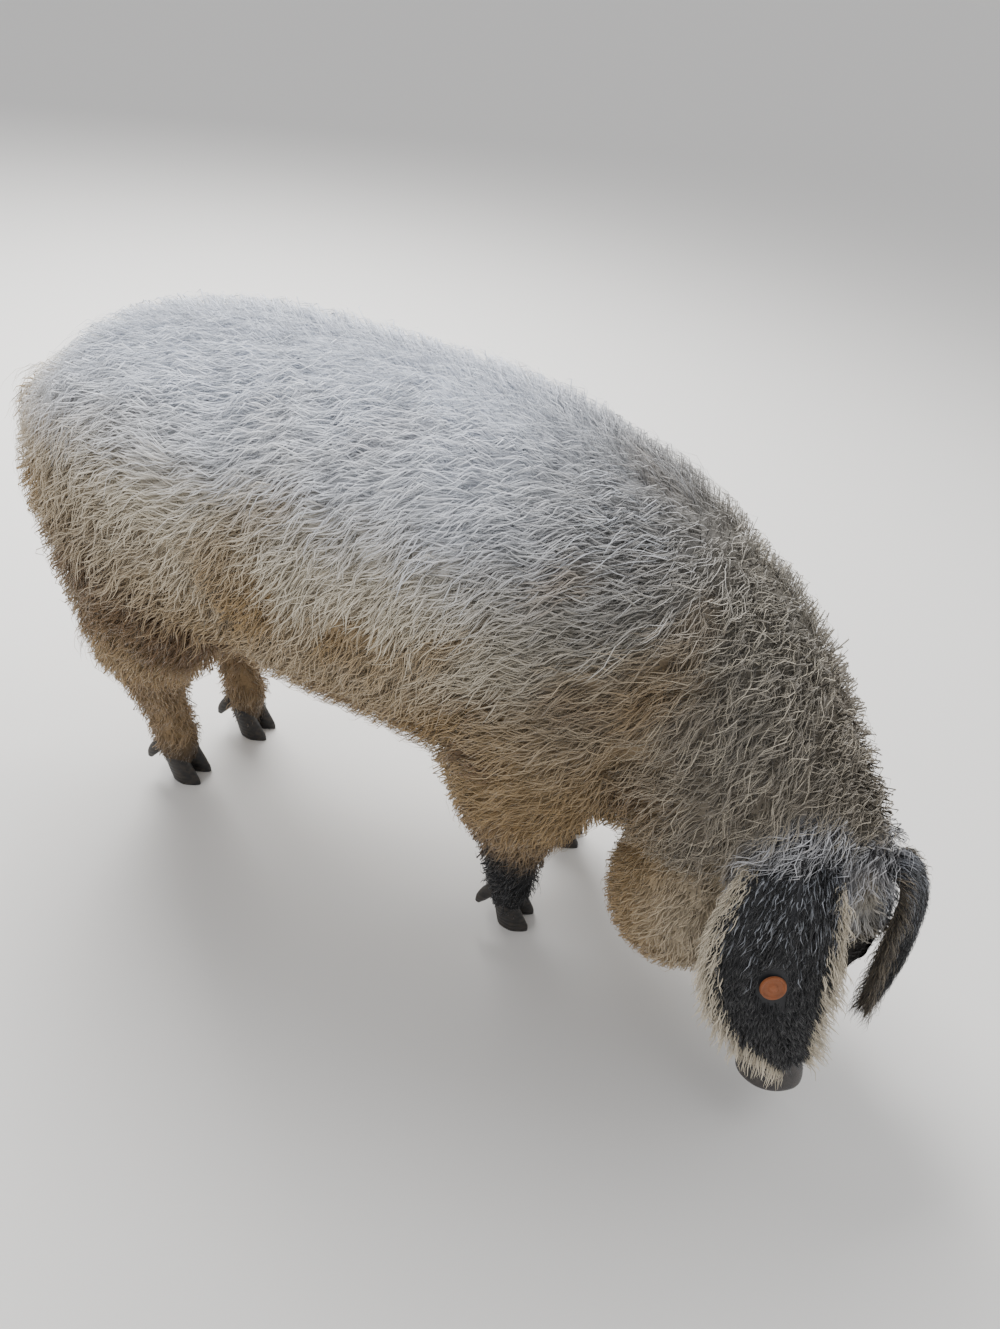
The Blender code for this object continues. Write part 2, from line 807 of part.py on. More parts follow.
def finish_head(head):
    """Lips, mouth line, lids and eye sockets, and the flat that carries the snout plate."""
    _, left, brow = head_axes()
    ridges = []
    for offset in (-LIP_RADIUS, LIP_RADIUS):
        for path in mouth_paths(offset):
            ridges.append(tube("lip", path[:-1], (LIP_RADIUS, LIP_RADIUS), brow))
    boolean(head, ridges + lids(-1) + lids(1), "UNION")
    cutters = [tube("mouth", path, MOUTH_GROOVE, left) for path in mouth_paths(0.0)]
    size = EYE_RADIUS + GAP
    for side in (-1, 1):
        sizes = (size, size, size)
        cutters.append(head_solid(EYE[0], side * EYE[1], EYE[2], sizes, rings=6, around=10))
    low, high = (SNOUT_CUT, -0.2, -0.4), (0.6, 0.2, 0.2)
    cutters.append(block("cell", POLL, head_axes(), low, high))
    for cutter in cutters:
        boolean(head, [cutter], "DIFFERENCE")
    return keep_largest(head)


def eyes():
    out = []
    for name, side in (("eye_right", -1), ("eye_left", 1)):
        size = (EYE_RADIUS, EYE_RADIUS, EYE_RADIUS)
        eye = head_solid(EYE[0], side * EYE[1], EYE[2], size, rings=6, around=10)
        eye.name = name
        out.append(eye)
    return out


def snout_plate():
    """The round plate at the end of the muzzle, with two nostrils."""
    _, left, _ = head_axes()
    rows = [(*head_point(d, 0.0, SNOUT_DEPTH), w, h) for d, w, h in SNOUT]
    plate = loft("snout", rows, left, power=2.3, around=20, steps=1)
    for side in (-1, 1):
        place = (SNOUT[-1][0] + 0.004, side * NOSTRIL_OFFSET, SNOUT_DEPTH - 0.002)
        hole = head_solid(*place, NOSTRIL_SIZES, rings=6, around=8)
        boolean(plate, [hole], "DIFFERENCE")
    return keep_largest(plate)


def ear_frames(rows, side, slant, cup):
    """Along the ear: middle points, directions across and outwards, half widths, and the cup."""
    _, left, brow = head_axes()
    across = (left * side - brow * slant).normalized()
    rows = flowing(rows, 3)
    middles = [head_point(d, side * l, u) for d, l, u, _ in rows]
    tangents = np.gradient(np.array(middles), axis=0)
    frames = []
    for middle, tangent, row in zip(middles, tangents, rows):
        along = unit(tangent)
        wide = (across - along * across.dot(along)).normalized()
        out = along.cross(wide) * side
        if out.dot(brow) < 0:
            out = -out
        frames.append((middle, wide, out, row[3], along))
    return frames


def ear_blade(name, side, grow=0.0):
    """A thin cupped blade that bends out of the skull and hangs over the cheek."""
    index = 0 if side < 0 else 1
    rows = (EAR_RIGHT, EAR_LEFT)[index]
    frames = ear_frames(rows, side, EAR_SLANTS[index], EAR_CUPS[index])
    points = []
    for step, (middle, wide, out, half, _) in enumerate(frames):
        t = step / (len(frames) - 1)
        cup = EAR_CUPS[index] * min(1.0, half / 0.07)
        thick = EAR_THICKNESS * (1.5 - 0.9 * t) / 2 + grow
        for v, sign in ear_section():
            edge = thick * (1 - 0.55 * abs(v) ** 3)
            rise = cup * (1 - v * v) - cup * 0.4
            reach = half * v + grow * v
            points.append(middle + wide * reach + out * (rise + sign * edge))
    return make(name, points, tube_faces(len(frames), len(ear_section())))


def ear_section():
    """Where the points of one ear section lie: across from -1 to 1 on top, and back below."""
    top = [(-1 + 2 * i / (EAR_AROUND - 1), 1) for i in range(EAR_AROUND)]
    return top + [(v, -1) for v, _ in reversed(top)]


def ear_cell(side, grow=0.0):
    """The space beyond the cut at the ear's root."""
    index = 0 if side < 0 else 1
    rows = (EAR_RIGHT, EAR_LEFT)[index]
    frames = ear_frames(rows, side, EAR_SLANTS[index], EAR_CUPS[index])
    middle, wide, out, _, along = frames[EAR_CUT_STEP]
    return middle - along * grow, (along, wide, out)


def hanging_lock(root, way, across, length, half, thick, bend):
    """A thin, flat, tapered lock that leaves its root one way and bends to another."""
    points, centre, along = [], root, 0.0
    for share, width in FRINGE_RINGS:
        heading = unit(way * (1 - share) + bend * share)
        centre = centre + heading * ((share - along) * length)
        along = share
        wide = unit(across - heading * across.dot(heading))
        flat = heading.cross(wide)
        if width == 0:
            points.append(centre)
            continue
        depth = thick * (1 - 0.5 * share)
        for a, b in ((1, 0), (0, 1), (-1, 0), (0, -1)):
            points.append(centre + wide * (a * half * width) + flat * (b * depth))
    return make("lock", points, cone_faces(len(FRINGE_RINGS) - 1, 4))


def ear_fringe(side, grow=0.0):
    """Long hair along both edges of the ear and at its tip."""
    index = 0 if side < 0 else 1
    rows = (EAR_RIGHT, EAR_LEFT)[index]
    frames = ear_frames(rows, side, EAR_SLANTS[index], EAR_CUPS[index])
    rng = random.Random(FRINGE_SEED + index)
    out = []
    for place, edge in FRINGE_PLACES:
        middle, wide, normal, half, along = frames[round(place * (len(frames) - 1))]
        sink = max(-1.0, min(1.0, edge)) * max(0.0, half - 0.010)
        drop = -EAR_CUPS[index] * min(1.0, half / 0.07) * 0.4 * abs(edge)
        root = middle + wide * sink + normal * drop
        length = FRINGE_LENGTH * rng.uniform(0.85, 1.15) + grow
        way = unit(along * 0.55 + wide * edge)
        bend = unit(along + wide * (edge * 0.3) + Vector((0, 0, -0.4)))
        half_width, thick = FRINGE_HALF_WIDTH + grow, FRINGE_THICKNESS / 2 + grow
        out.append(hanging_lock(root, way, along - wide * edge * 0.5, length, half_width, thick, bend))
    return out


def ear(side):
    """One ear with its fringe, and the stub of its root that stays on the head."""
    name = "ear_right" if side < 0 else "ear_left"
    blade = boolean(ear_blade(name, side), ear_fringe(side), "UNION")
    thin_to(blade, EAR_TRIANGLES)
    origin, axes = ear_cell(side)
    low, high = (0.0, -0.3, -0.3), (0.6, 0.3, 0.3)
    blade.name = name + "_root"
    piece = part_off(blade, name, origin, axes, low, high)
    origin, axes, low, high = head_cell()
    low = (low[0] + 2 * GAP, low[1], low[2])
    boolean(blade, [block("cell", origin, axes, low, high)], "INTERSECT")
    return piece, keep_largest(blade)


def clear_of_ear(obj, side, piece):
    """Takes a slightly larger ear out of the object, beyond the cut at the ear's root, and then
    the ear itself moved a little each way, for where thinning has moved its surface."""
    grown = ear_blade("grown", side, EAR_CLEARANCE)
    boolean(grown, ear_fringe(side, EAR_CLEARANCE), "UNION")
    origin, axes = ear_cell(side, GAP)
    boolean(grown, [block("cell", origin, axes, (0.0, -0.3, -0.3), (0.6, 0.3, 0.3))], "INTERSECT")
    boolean(obj, [grown], "DIFFERENCE")
    for axis in axes:
        for way in (-2 * GAP, 2 * GAP):
            moved = copy_of(piece, "moved")
            moved.data.transform(Matrix.Translation(axis * way))
            boolean(obj, [moved], "DIFFERENCE")


def tag_place():
    """The middle of the tag on the right ear's outer face, with its directions."""
    frames = ear_frames(EAR_RIGHT, -1, EAR_SLANTS[0], EAR_CUPS[0])
    middle, wide, out, half, along = frames[round(TAG_ALONG * (len(frames) - 1))]
    cup = EAR_CUPS[0] * min(1.0, half / 0.07)
    return middle + wide * (half * TAG_ACROSS) + out * (cup * 0.6), (along, wide, out)


def disc(name, centre, axes, rows, around=14):
    """A turned piece: rows of height along the third axis and radius."""
    points = []
    for height, radius in rows:
        for i in range(around):
            angle = 2 * math.pi * i / around
            points.append(
                centre
                + axes[0] * (radius * math.cos(angle))
                + axes[1] * (radius * math.sin(angle))
                + axes[2] * height
            )
    return make(name, points, tube_faces(len(rows), around))


def ear_tag(ear_obj):
    """A round button on the ear's outer face, its pin through the ear, and a disc behind."""
    centre, axes = tag_place()
    face = EAR_THICKNESS * 0.5 + 0.0012
    r, t = TAG_RADIUS, TAG_THICKNESS
    hole = TAG_PIN_RADIUS + GAP
    boolean(ear_obj, [disc("hole", centre, axes, ((-0.03, hole), (0.03, hole)), 12)], "DIFFERENCE")
    keep_largest(ear_obj)
    button = disc(
        "ear_tag_button",
        centre,
        axes,
        (
            (face, r * 0.97),
            (face + t * 0.45, r),
            (face + t, r * 0.95),
            (face + t, r * 0.82),
            (face + t * 0.7, r * 0.76),
            (face + t * 0.7, r * 0.30),
            (face + t * 0.95, r * 0.24),
        ),
    )
    pin = disc("pin", centre, axes, ((-face - 0.005, TAG_PIN_RADIUS), (face + 0.001, TAG_PIN_RADIUS)), 12)
    boolean(button, [pin], "UNION")
    back = disc(
        "ear_tag_back",
        centre,
        axes,
        ((-face - 0.0075, TAG_BACK_RADIUS * 0.8), (-face - 0.006, TAG_BACK_RADIUS), (-face, TAG_BACK_RADIUS)),
    )
    boolean(back, [disc("hole", centre, axes, ((-face - 0.0055, hole), (0.0, hole)), 12)], "DIFFERENCE")
    return button, keep_largest(back)


def foot(leg, name, place, side_name):
    """Two toes and two dewclaws. Their horn is parted off, and their roots stay on the leg."""
    claws, roots, room = [], [], []
    slope = math.atan(CORONET_SLOPE)
    axes = (
        Vector((math.cos(slope), 0, math.sin(slope))),
        Vector((0, 1, 0)),
        Vector((-math.sin(slope), 0, math.cos(slope))),
    )
    outward = 1 if side_name == "left" else -1
    for which, side in (("outer", outward), ("inner", -outward)):
        y = place[1] + side * TOE_OFFSET
        rows = [(place[0] + dx, y, z, length, width) for z, dx, length, width in TOE]
        toe = loft("toe", rows, (1, 0, 0), power=2.0, around=10, steps=1, level=True)
        pinch_front(toe, place[0] + TOE[0][1], y, TOE[0][2])
        origin = (place[0], y, CORONET)
        claw = part_off(toe, f"claw_{name}_{which}", origin, axes, (-0.1, -0.1, -0.1), (0.1, 0.1, 0.0))
        claws.append(claw)
        roots.append(keep_largest(toe))
        rows = [(place[0] + dx, place[1] + side * dy, z, r, r * 0.85) for dx, dy, z, r in DEWCLAW]
        dew = loft("dew", rows, (1, 0, 0), power=2.0, around=8, steps=1)
        low, high = (-0.1, -0.1, -0.1), (0.1, 0.1, 0.0)
        origin = (place[0] - 0.05, y, DEWCLAW_CUT)
        claws.append(part_off(dew, f"dewclaw_{name}_{which}", origin, axes, low, high))
        roots.append(keep_largest(dew))
        grown = [(x, y, z, a + DEWCLAW_CLEARANCE, b + DEWCLAW_CLEARANCE) for x, y, z, a, b in rows]
        grown = loft("grown", grown, (1, 0, 0), power=2.0, around=8, steps=1)
        high = (0.1, 0.1, GAP)
        boolean(grown, [block("cell", origin, axes, low, high)], "INTERSECT")
        room.append(grown)
    boolean(leg, roots, "UNION")
    for grown in room:
        boolean(leg, [grown], "DIFFERENCE")
    return claws


def pinch_front(obj, x, y, length):
    """Narrows a toe towards its tip."""
    for vertex in obj.data.vertices:
        ahead = max(0.0, (vertex.co.x - x) / length)
        vertex.co.y = y + (vertex.co.y - y) * (1 - TOE_PINCH * min(1.0, ahead))


def tail_tuft():
    """Long hair round the end of the tail."""
    rng = random.Random(TUFT_SEED)
    out = []
    for i in range(TUFT_LOCKS):
        angle = 2 * math.pi * (i + rng.uniform(-0.2, 0.2)) / TUFT_LOCKS
        x, y, z, radius = TAIL[-1 - i % 2]
        spread = Vector((math.cos(angle), math.sin(angle), 0))
        across = Vector((-math.sin(angle), math.cos(angle), 0))
        root = Vector((x, y, z)) + spread * (radius * 0.5)
        length = TUFT_LENGTH * rng.uniform(0.8, 1.15)
        way = unit(spread * 0.7 + Vector((0, 0, -1)))
        bend = unit(spread * 0.1 + Vector((0, 0, -1)))
        out.append(hanging_lock(root, way, across, length, TUFT_HALF_WIDTH, TUFT_THICKNESS / 2, bend))
    return out


def tail_parts():
    """The tail with its tuft, and the stub of its root that stays on the torso."""
    rows = [(*row, row[3]) for row in TAIL]
    tail = loft("tail_root", rows, (0, 1, 0), power=2.0, around=12, steps=2)
    boolean(tail, tail_tuft(), "UNION")
    thin_to(tail, TAIL_TRIANGLES)
    origin = (TAIL_CUT_X, 0, 0.5)
    axes = (Vector((-1, 0, 0)), Vector((0, 1, 0)), Vector((0, 0, 1)))
    piece = part_off(tail, "tail", origin, axes, (0.0, -0.3, -0.4), (0.4, 0.3, 0.4))
    return piece, keep_largest(tail)


def paint(obj, colour, roughness):
    material = bpy.data.materials.new(obj.name)
    material.use_nodes = True
    shader = material.node_tree.nodes["Principled BSDF"]
    shader.inputs["Base Color"].default_value = (*colour, 1)
    shader.inputs["Roughness"].default_value = roughness
    obj.data.materials.clear()
    obj.data.materials.append(material)


def centre_on_floor(objects):
    """Moves everything so that the origin is on the floor under the middle of the outline."""
    corners = np.vstack([[tuple(v.co) for v in obj.data.vertices] for obj in objects])
    low, high = corners.min(axis=0), corners.max(axis=0)
    shift = Vector((-(low[0] + high[0]) / 2, -(low[1] + high[1]) / 2, -low[2]))
    for obj in objects:
        for vertex in obj.data.vertices:
            vertex.co += shift


FEET = (
    ("hind_right", HIND_FOOT, "right"),
    ("hind_left", LEFT_HIND_FOOT, "left"),
    ("fore_right", FORE_FOOT, "right"),
    ("fore_left", LEFT_FORE_FOOT, "left"),
)


def main():
    clear_scene()
    body = body_core()
    torso, neck, head, legs = part_body(body)
    tail, tail_root = tail_parts()
    boolean(torso, [tail_root], "UNION")
    ears, stubs = [], []
    for side in (-1, 1):
        piece, stub = ear(side)
        ears.append(piece)
        stubs.append(stub)
    boolean(head, stubs, "UNION")
    for side, piece in zip((-1, 1), ears):
        clear_of_ear(head, side, piece)
        clear_of_ear(neck, side, piece)
    head = finish_head(head)
    tag = ear_tag(ears[0])
    horn = []
    for leg, (name, place, side_name) in zip(legs, FEET):
        horn += foot(leg, name, place, side_name)
    flesh = [torso, keep_largest(neck), head, tail] + legs
    dark = ears + [snout_plate()]
    for obj in flesh:
        paint(obj, TAN if "leg" in obj.name else CREAM, 0.9)
    for obj in dark:
        paint(obj, SLATE, 0.8)
    for obj in horn:
        paint(obj, HORN, 0.5)
    for obj in tag:
        paint(obj, ORANGE, 0.45)
    balls = eyes()
    for obj in balls:
        paint(obj, EYE_BROWN, 0.1)
    everything = flesh + dark + horn + list(tag) + balls
    centre_on_floor(everything)


main()
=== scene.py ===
"""The looks of a mangalica sow at life size: one skin, a long wavy coat of thin tufts, dark ears with
a pale fringe, horn claws, wet eyes and an orange ear tag, on a pale floor in soft light.

Metres, +Z up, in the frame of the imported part. The tables hold the sow's own sizes, laid out from
the midpoint between the hind feet, and everything is moved from there to the frame by SHIFT.
"""

import itertools

import bmesh
import bpy
import numpy as np
from mathutils import Matrix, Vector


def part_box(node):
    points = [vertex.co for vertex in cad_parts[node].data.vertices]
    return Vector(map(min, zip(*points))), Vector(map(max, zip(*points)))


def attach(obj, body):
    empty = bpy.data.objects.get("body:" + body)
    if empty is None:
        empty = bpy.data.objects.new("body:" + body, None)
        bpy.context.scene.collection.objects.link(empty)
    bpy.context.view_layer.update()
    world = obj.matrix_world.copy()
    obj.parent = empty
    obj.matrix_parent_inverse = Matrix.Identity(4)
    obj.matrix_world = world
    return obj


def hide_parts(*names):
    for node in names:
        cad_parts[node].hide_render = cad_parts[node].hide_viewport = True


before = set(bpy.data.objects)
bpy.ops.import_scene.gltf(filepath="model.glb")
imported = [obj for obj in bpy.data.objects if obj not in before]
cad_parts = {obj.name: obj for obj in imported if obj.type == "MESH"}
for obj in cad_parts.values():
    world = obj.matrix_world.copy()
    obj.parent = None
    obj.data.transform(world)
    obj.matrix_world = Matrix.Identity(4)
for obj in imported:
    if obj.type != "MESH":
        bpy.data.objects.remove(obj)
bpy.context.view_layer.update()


def direction(*parts):
    """A direction of length 1."""
    parts = np.array(parts, float)
    return parts / np.linalg.norm(parts)


# Head: the poll, down the face, to her left and out of the forehead.
POLL = np.array((1.015, -0.168, 0.390))
FACE = direction(0.150, -0.438, -0.886)
ACROSS = np.array((0.828, 0.533, -0.177))
LEFT = direction(*(ACROSS - FACE * (ACROSS @ FACE)))
BROW = np.cross(FACE, LEFT)

# Torso skin: x, back height, belly height, half width.
TORSO = (
    (-0.246, 0.645, 0.560, 0.050),
    (-0.226, 0.700, 0.510, 0.105),
    (-0.180, 0.748, 0.455, 0.155),
    (-0.110, 0.785, 0.415, 0.190),
    (0.000, 0.814, 0.390, 0.210),
    (0.130, 0.830, 0.372, 0.217),
    (0.260, 0.832, 0.355, 0.220),
    (0.390, 0.824, 0.335, 0.220),
    (0.500, 0.798, 0.310, 0.216),
    (0.600, 0.760, 0.295, 0.205),
    (0.700, 0.708, 0.292, 0.175),
    (0.770, 0.650, 0.335, 0.135),
)

# Neck skin along its middle line: x, y, z, half width, half height.
NECK = (
    (0.600, 0.000, 0.530, 0.190, 0.212),
    (0.690, -0.010, 0.500, 0.185, 0.204),
    (0.770, -0.028, 0.457, 0.172, 0.184),
    (0.835, -0.050, 0.415, 0.158, 0.162),
    (0.890, -0.075, 0.375, 0.142, 0.142),
    (0.930, -0.100, 0.340, 0.125, 0.125),
)

# Right hind leg and right fore leg skin: x, y, z, half length, half width.
HIND_LEG = (
    (-0.040, -0.100, 0.640, 0.105, 0.070),
    (-0.042, -0.108, 0.560, 0.138, 0.095),
    (-0.042, -0.113, 0.480, 0.130, 0.096),
    (-0.052, -0.112, 0.400, 0.104, 0.083),
    (-0.070, -0.104, 0.330, 0.074, 0.063),
    (-0.082, -0.092, 0.270, 0.056, 0.047),
    (-0.082, -0.080, 0.210, 0.043, 0.035),
    (-0.076, -0.070, 0.140, 0.032, 0.029),
    (-0.070, -0.063, 0.085, 0.035, 0.034),
    (-0.066, -0.060, 0.045, 0.027, 0.029),
)
FORE_LEG = (
    (0.560, -0.120, 0.560, 0.120, 0.080),
    (0.555, -0.135, 0.460, 0.135, 0.092),
    (0.545, -0.140, 0.370, 0.115, 0.080),
    (0.546, -0.133, 0.295, 0.085, 0.066),
    (0.552, -0.122, 0.230, 0.060, 0.050),
    (0.558, -0.114, 0.170, 0.044, 0.038),
    (0.564, -0.109, 0.115, 0.034, 0.032),
    (0.566, -0.107, 0.075, 0.036, 0.035),
    (0.568, -0.107, 0.045, 0.028, 0.030),
)

# Each foot: the leg's table, where the table's foot stands, where this one stands, and its side.
FEET = {
    "hind_right": (HIND_LEG, (-0.057, -0.060), (-0.057, -0.060), -1),
    "hind_left": (HIND_LEG, (-0.057, -0.060), (-0.009, 0.090), 1),
    "fore_right": (FORE_LEG, (0.577, -0.107), (0.577, -0.107), -1),
    "fore_left": (FORE_LEG, (0.577, -0.107), (0.612, 0.100), 1),
}
LEG_SWING_TOP = 0.40

# Head skin down the face: distance from the poll, depth of the middle line, half width, height.
HEAD = (
    (-0.075, 0.130, 0.085, 0.085),
    (-0.045, 0.122, 0.106, 0.106),
    (0.000, 0.118, 0.116, 0.117),
    (0.050, 0.119, 0.119, 0.118),
    (0.100, 0.122, 0.108, 0.110),
    (0.145, 0.122, 0.088, 0.092),
    (0.190, 0.117, 0.068, 0.073),
    (0.235, 0.108, 0.055, 0.058),
    (0.275, 0.100, 0.048, 0.050),
    (0.303, 0.096, 0.045, 0.046),
)
JAW = (
    (0.090, 0.172, 0.070, 0.062),
    (0.160, 0.163, 0.050, 0.042),
    (0.225, 0.152, 0.037, 0.030),
    (0.288, 0.144, 0.028, 0.022),
)
# Jowls: distance down the face, offset to her left, depth under the poll, radius.
JOWLS = ((0.090, -0.130, 0.208, 0.106), (0.055, 0.070, 0.165, 0.080))

# Eyes: distance down the face, offset from the middle, depth, and the radius of the ball.
EYE = (0.120, 0.079, 0.064)
EYE_RADIUS = 0.0135
LID_HALF_WIDTH = 0.0165
LID_OPENING = 0.0078

# Mouth line: distance down the face and depth under the poll.
MOUTH = ((0.158, 0.150), (0.200, 0.141), (0.245, 0.135), (0.290, 0.132), (0.330, 0.131))

# How far apart the folds of the skin lie: across the muzzle, round the eye and over the brow.
MUZZLE_FOLDS = 0.0155
EYE_FOLDS = 0.012
BROW_FOLDS = 0.020

# Snout plate: distance down the face, half width, half height, and its nostrils.
SNOUT = (
    (0.296, 0.0400, 0.0385),
    (0.306, 0.0438, 0.0405),
    (0.314, 0.0460, 0.0425),
    (0.322, 0.0468, 0.0433),
    (0.330, 0.0462, 0.0428),
    (0.335, 0.0440, 0.0405),
)
SNOUT_DEPTH = 0.094
NOSTRIL = (0.0175, -0.002, 0.0085, 0.0105)

# Ears down the middle line: distance down the face, offset from the middle, depth, half width.
EARS = {
    -1: (
        (-0.020, 0.058, 0.055, 0.040),
        (-0.022, 0.090, 0.020, 0.055),
        (0.022, 0.112, 0.002, 0.074),
        (0.095, 0.119, 0.004, 0.084),
        (0.172, 0.097, 0.008, 0.067),
        (0.246, 0.050, 0.006, 0.014),
    ),
    1: (
        (-0.020, 0.058, 0.055, 0.038),
        (-0.018, 0.088, 0.024, 0.052),
        (0.020, 0.110, 0.018, 0.068),
        (0.078, 0.119, 0.026, 0.074),
        (0.138, 0.114, 0.034, 0.056),
        (0.195, 0.100, 0.040, 0.012),
    ),
}
# The dark hair round the ears' roots: distance down the face, offset to her left, and depth.
EAR_ROOTS = ((-0.018, -0.075, 0.035), (-0.015, 0.075, 0.038))
EAR_SLANT = {-1: 0.39, 1: 0.62}
EAR_CUP = {-1: 0.022, 1: 0.020}
EAR_THICKNESS = 0.0066

# Ear tag: where along and across the right ear, radius and thickness of the button.
TAG_ALONG = 0.66
TAG_ACROSS = 0.02
TAG_RADIUS = 0.0168
TAG_THICKNESS = 0.0032
# The right ear's length, and its half width at the tag.
EAR_LENGTH = 0.29
EAR_HALF_WIDTH = 0.075
# Hair keeps clear of the tag: how near its middle none roots, how far to its sides the hair above
# it is cut short, and the shortest hair that is left.
TAG_ROOM = 0.0172
TAG_SIDE = 0.018
SHORTEST_HAIR = 0.004

# Toes: height, offset forward of the foot's place, half length, half width.
TOE = (
    (0.000, 0.0125, 0.0262, 0.0132),
    (0.010, 0.0100, 0.0268, 0.0142),
    (0.026, 0.0030, 0.0243, 0.0142),
    (0.044, -0.0050, 0.0208, 0.0137),
    (0.066, -0.0110, 0.0178, 0.0127),
)
TOE_PINCH = 0.40
TOE_OFFSET = 0.0180
# Dewclaws: offset forward of the foot's place, offset sideways, height, radius.
DEWCLAW = (
    (-0.021, 0.0160, 0.083, 0.0113),
    (-0.038, 0.0205, 0.068, 0.0113),
    (-0.048, 0.0245, 0.052, 0.0090),
    (-0.0525, 0.0265, 0.040, 0.0046),
)

# Tail: middle line and radius.
TAIL = (
    (-0.215, 0.004, 0.650, 0.026),
    (-0.255, 0.006, 0.650, 0.023),
    (-0.298, 0.012, 0.632, 0.019),
    (-0.318, 0.020, 0.588, 0.016),
    (-0.322, 0.028, 0.535, 0.014),
    (-0.318, 0.034, 0.480, 0.013),
    (-0.312, 0.033, 0.440, 0.011),
)

# The skin is fused from its forms at this size of cell, and the face is made twice as fine.
SKIN_CELL = 0.0072
SKIN_SMOOTHING = 5

# The coat by region: length of a tuft, half width, how high it rises off the skin, side swing of
# its waves in radians, length of one wave, how far a clump draws together, how many long tufts and
# how many filling ones 200 faces of the skin carry, and how far a tuft strays from its lie.
LENGTH, HALF_WIDTH, RISE, SWING, WAVE, PULL, LONG_TUFTS, FILL_TUFTS, STRAY = range(9)
COAT = {
    "torso": (0.074, 0.00082, 0.030, 0.44, 0.060, 0.42, 42, 98, 0.28),
    "neck": (0.060, 0.00080, 0.032, 0.72, 0.052, 0.34, 46, 96, 0.30),
    "leg": (0.046, 0.00088, 0.018, 0.50, 0.042, 0.40, 34, 82, 0.16),
    "cheek": (0.040, 0.00082, 0.017, 0.46, 0.046, 0.26, 46, 96, 0.18),
    "brow": (0.040, 0.00082, 0.019, 0.56, 0.044, 0.30, 42, 90, 0.24),
    "face": (0.016, 0.00070, 0.0050, 0.25, 0.030, 0.10, 0, 96, 0.12),
    "foot": (0.022, 0.00080, 0.0075, 0.30, 0.030, 0.20, 8, 92, 0.12),
}
COAT_SEED = 7
# Clumps: how far apart they root, and the steps of their paths.
CLUMP_SPACING = 0.026
PATH_STEPS = 8
# Tufts: how deep they root, how long a filling one is beside its clump, the share that stands
# loose, and how many the tail has.
ROOT_DEPTH = 0.002
FILL_SHARE = 0.60
LOOSE_SHARE = 0.05
TAIL_TUFTS = 900

# Where the coat is bare: beyond this far down the face, this near the eyes, this near the mouth's
# line and below this height of the feet.
BARE_DOWN = 0.292
BARE_EYE = 0.021
BARE_MOUTH = 0.004
BARE_FOOT = 0.036

# Only the head lies further forward than this. Legs before or behind LEG_SPLIT are fore or hind ones.
HEAD_X = 0.85
LEG_SPLIT = 0.25

# The coat's pieces: from x to x, their side of the body (0 for both), and what they cover.
FAR = 9.0
PARTS = {
    "rump": (-FAR, 0.03, 0, "body"),
    "loin_right": (0.03, 0.30, -1, "body"),
    "loin_left": (0.03, 0.30, 1, "body"),
    "ribs_right": (0.30, 0.54, -1, "body"),
    "ribs_left": (0.30, 0.54, 1, "body"),
    "shoulder": (0.54, 0.74, 0, "body"),
    "neck": (0.74, FAR, 0, "body"),
    "head": (-FAR, FAR, 0, "head"),
    "hind_legs": (-FAR, LEG_SPLIT, 0, "legs"),
    "fore_legs": (LEG_SPLIT, FAR, 0, "legs"),
}

# A tuft's width from its root to its last ring before the tip, then how high its ridge stands.
LONG_PROFILE = (0.60, 0.80, 0.72, 0.58, 0.38)
FILL_PROFILE = (1.10, 1.15)
FRINGE_PROFILE = (0.70, 0.85, 0.70, 0.42)
TUFT_RIDGE = 0.42

# Hair of an ear: how many tufts, on its outer or inner face or its edge (1, -1, 0), how far they
# turn outwards, half width, and profile. Then how dark each ear's fringe is.
EAR_HAIR = {
    "short": (5200, 1, 0.25, 0.0006, FILL_PROFILE),
    "inner": (2400, -1, 0.25, 0.0006, FILL_PROFILE),
    "fringe": (3200, 0, 0.70, 0.0008, FRINGE_PROFILE),
}
# The left ear's fringe is made dark as painted shade.
FRINGE_DARKNESS_AND_SHADE = {-1: (0.0, 0.25), 1: (0.6, 1.0)}

# The flat map of the skin: each field's low corner and size, the gap from one leg's field to the
# next one's, and the size of a tuft's patch on it.
BODY_FIELD = (0.01, 0.02, 0.66, 0.96)
HEAD_FIELD = (0.69, 0.02, 0.14, 0.96)
LEG_FIELD = (0.85, 0.02, 0.13, 0.22)
LEG_FIELD_STEP = 0.235
TUFT_PATCH = 0.003

# Heights of the dark socks on fore and hind legs, and how dark they are.
# The fore socks reach higher and are darker than the hind ones, partly as painted shade under the head and
# neck.
FORE_SOCK_AND_SHADE = (0.215, 1.0)
HIND_SOCK = (0.095, 0.74)

# The sides of the body, by the sign of y and of a distance to her left.
SIDES = {-1: "right", 1: "left"}

# The nodes that the one skin stands for.
SKIN_NODES = (
    "torso", "neck", "head", "tail", "hind_leg_right", "hind_leg_left", "fore_leg_right", "fore_leg_left",
)

# Lamps: place, size of the square, and power. All of them point at LIT_PLACE.
LIGHTS = {
    "sky": ((-1.6, 1.7, 2.9), 2.2, 268.0),
    "window": ((2.4, 1.2, 2.6), 2.4, 30.0),
    "fill": ((-2.6, -1.8, 1.8), 2.4, 22.0),
}
LIT_PLACE = (0.0, 0.0, 0.4)

# The floor reaches this far each way, and lies just below the claws.
FLOOR_REACH = 300.0
FLOOR_DROP = 0.0005

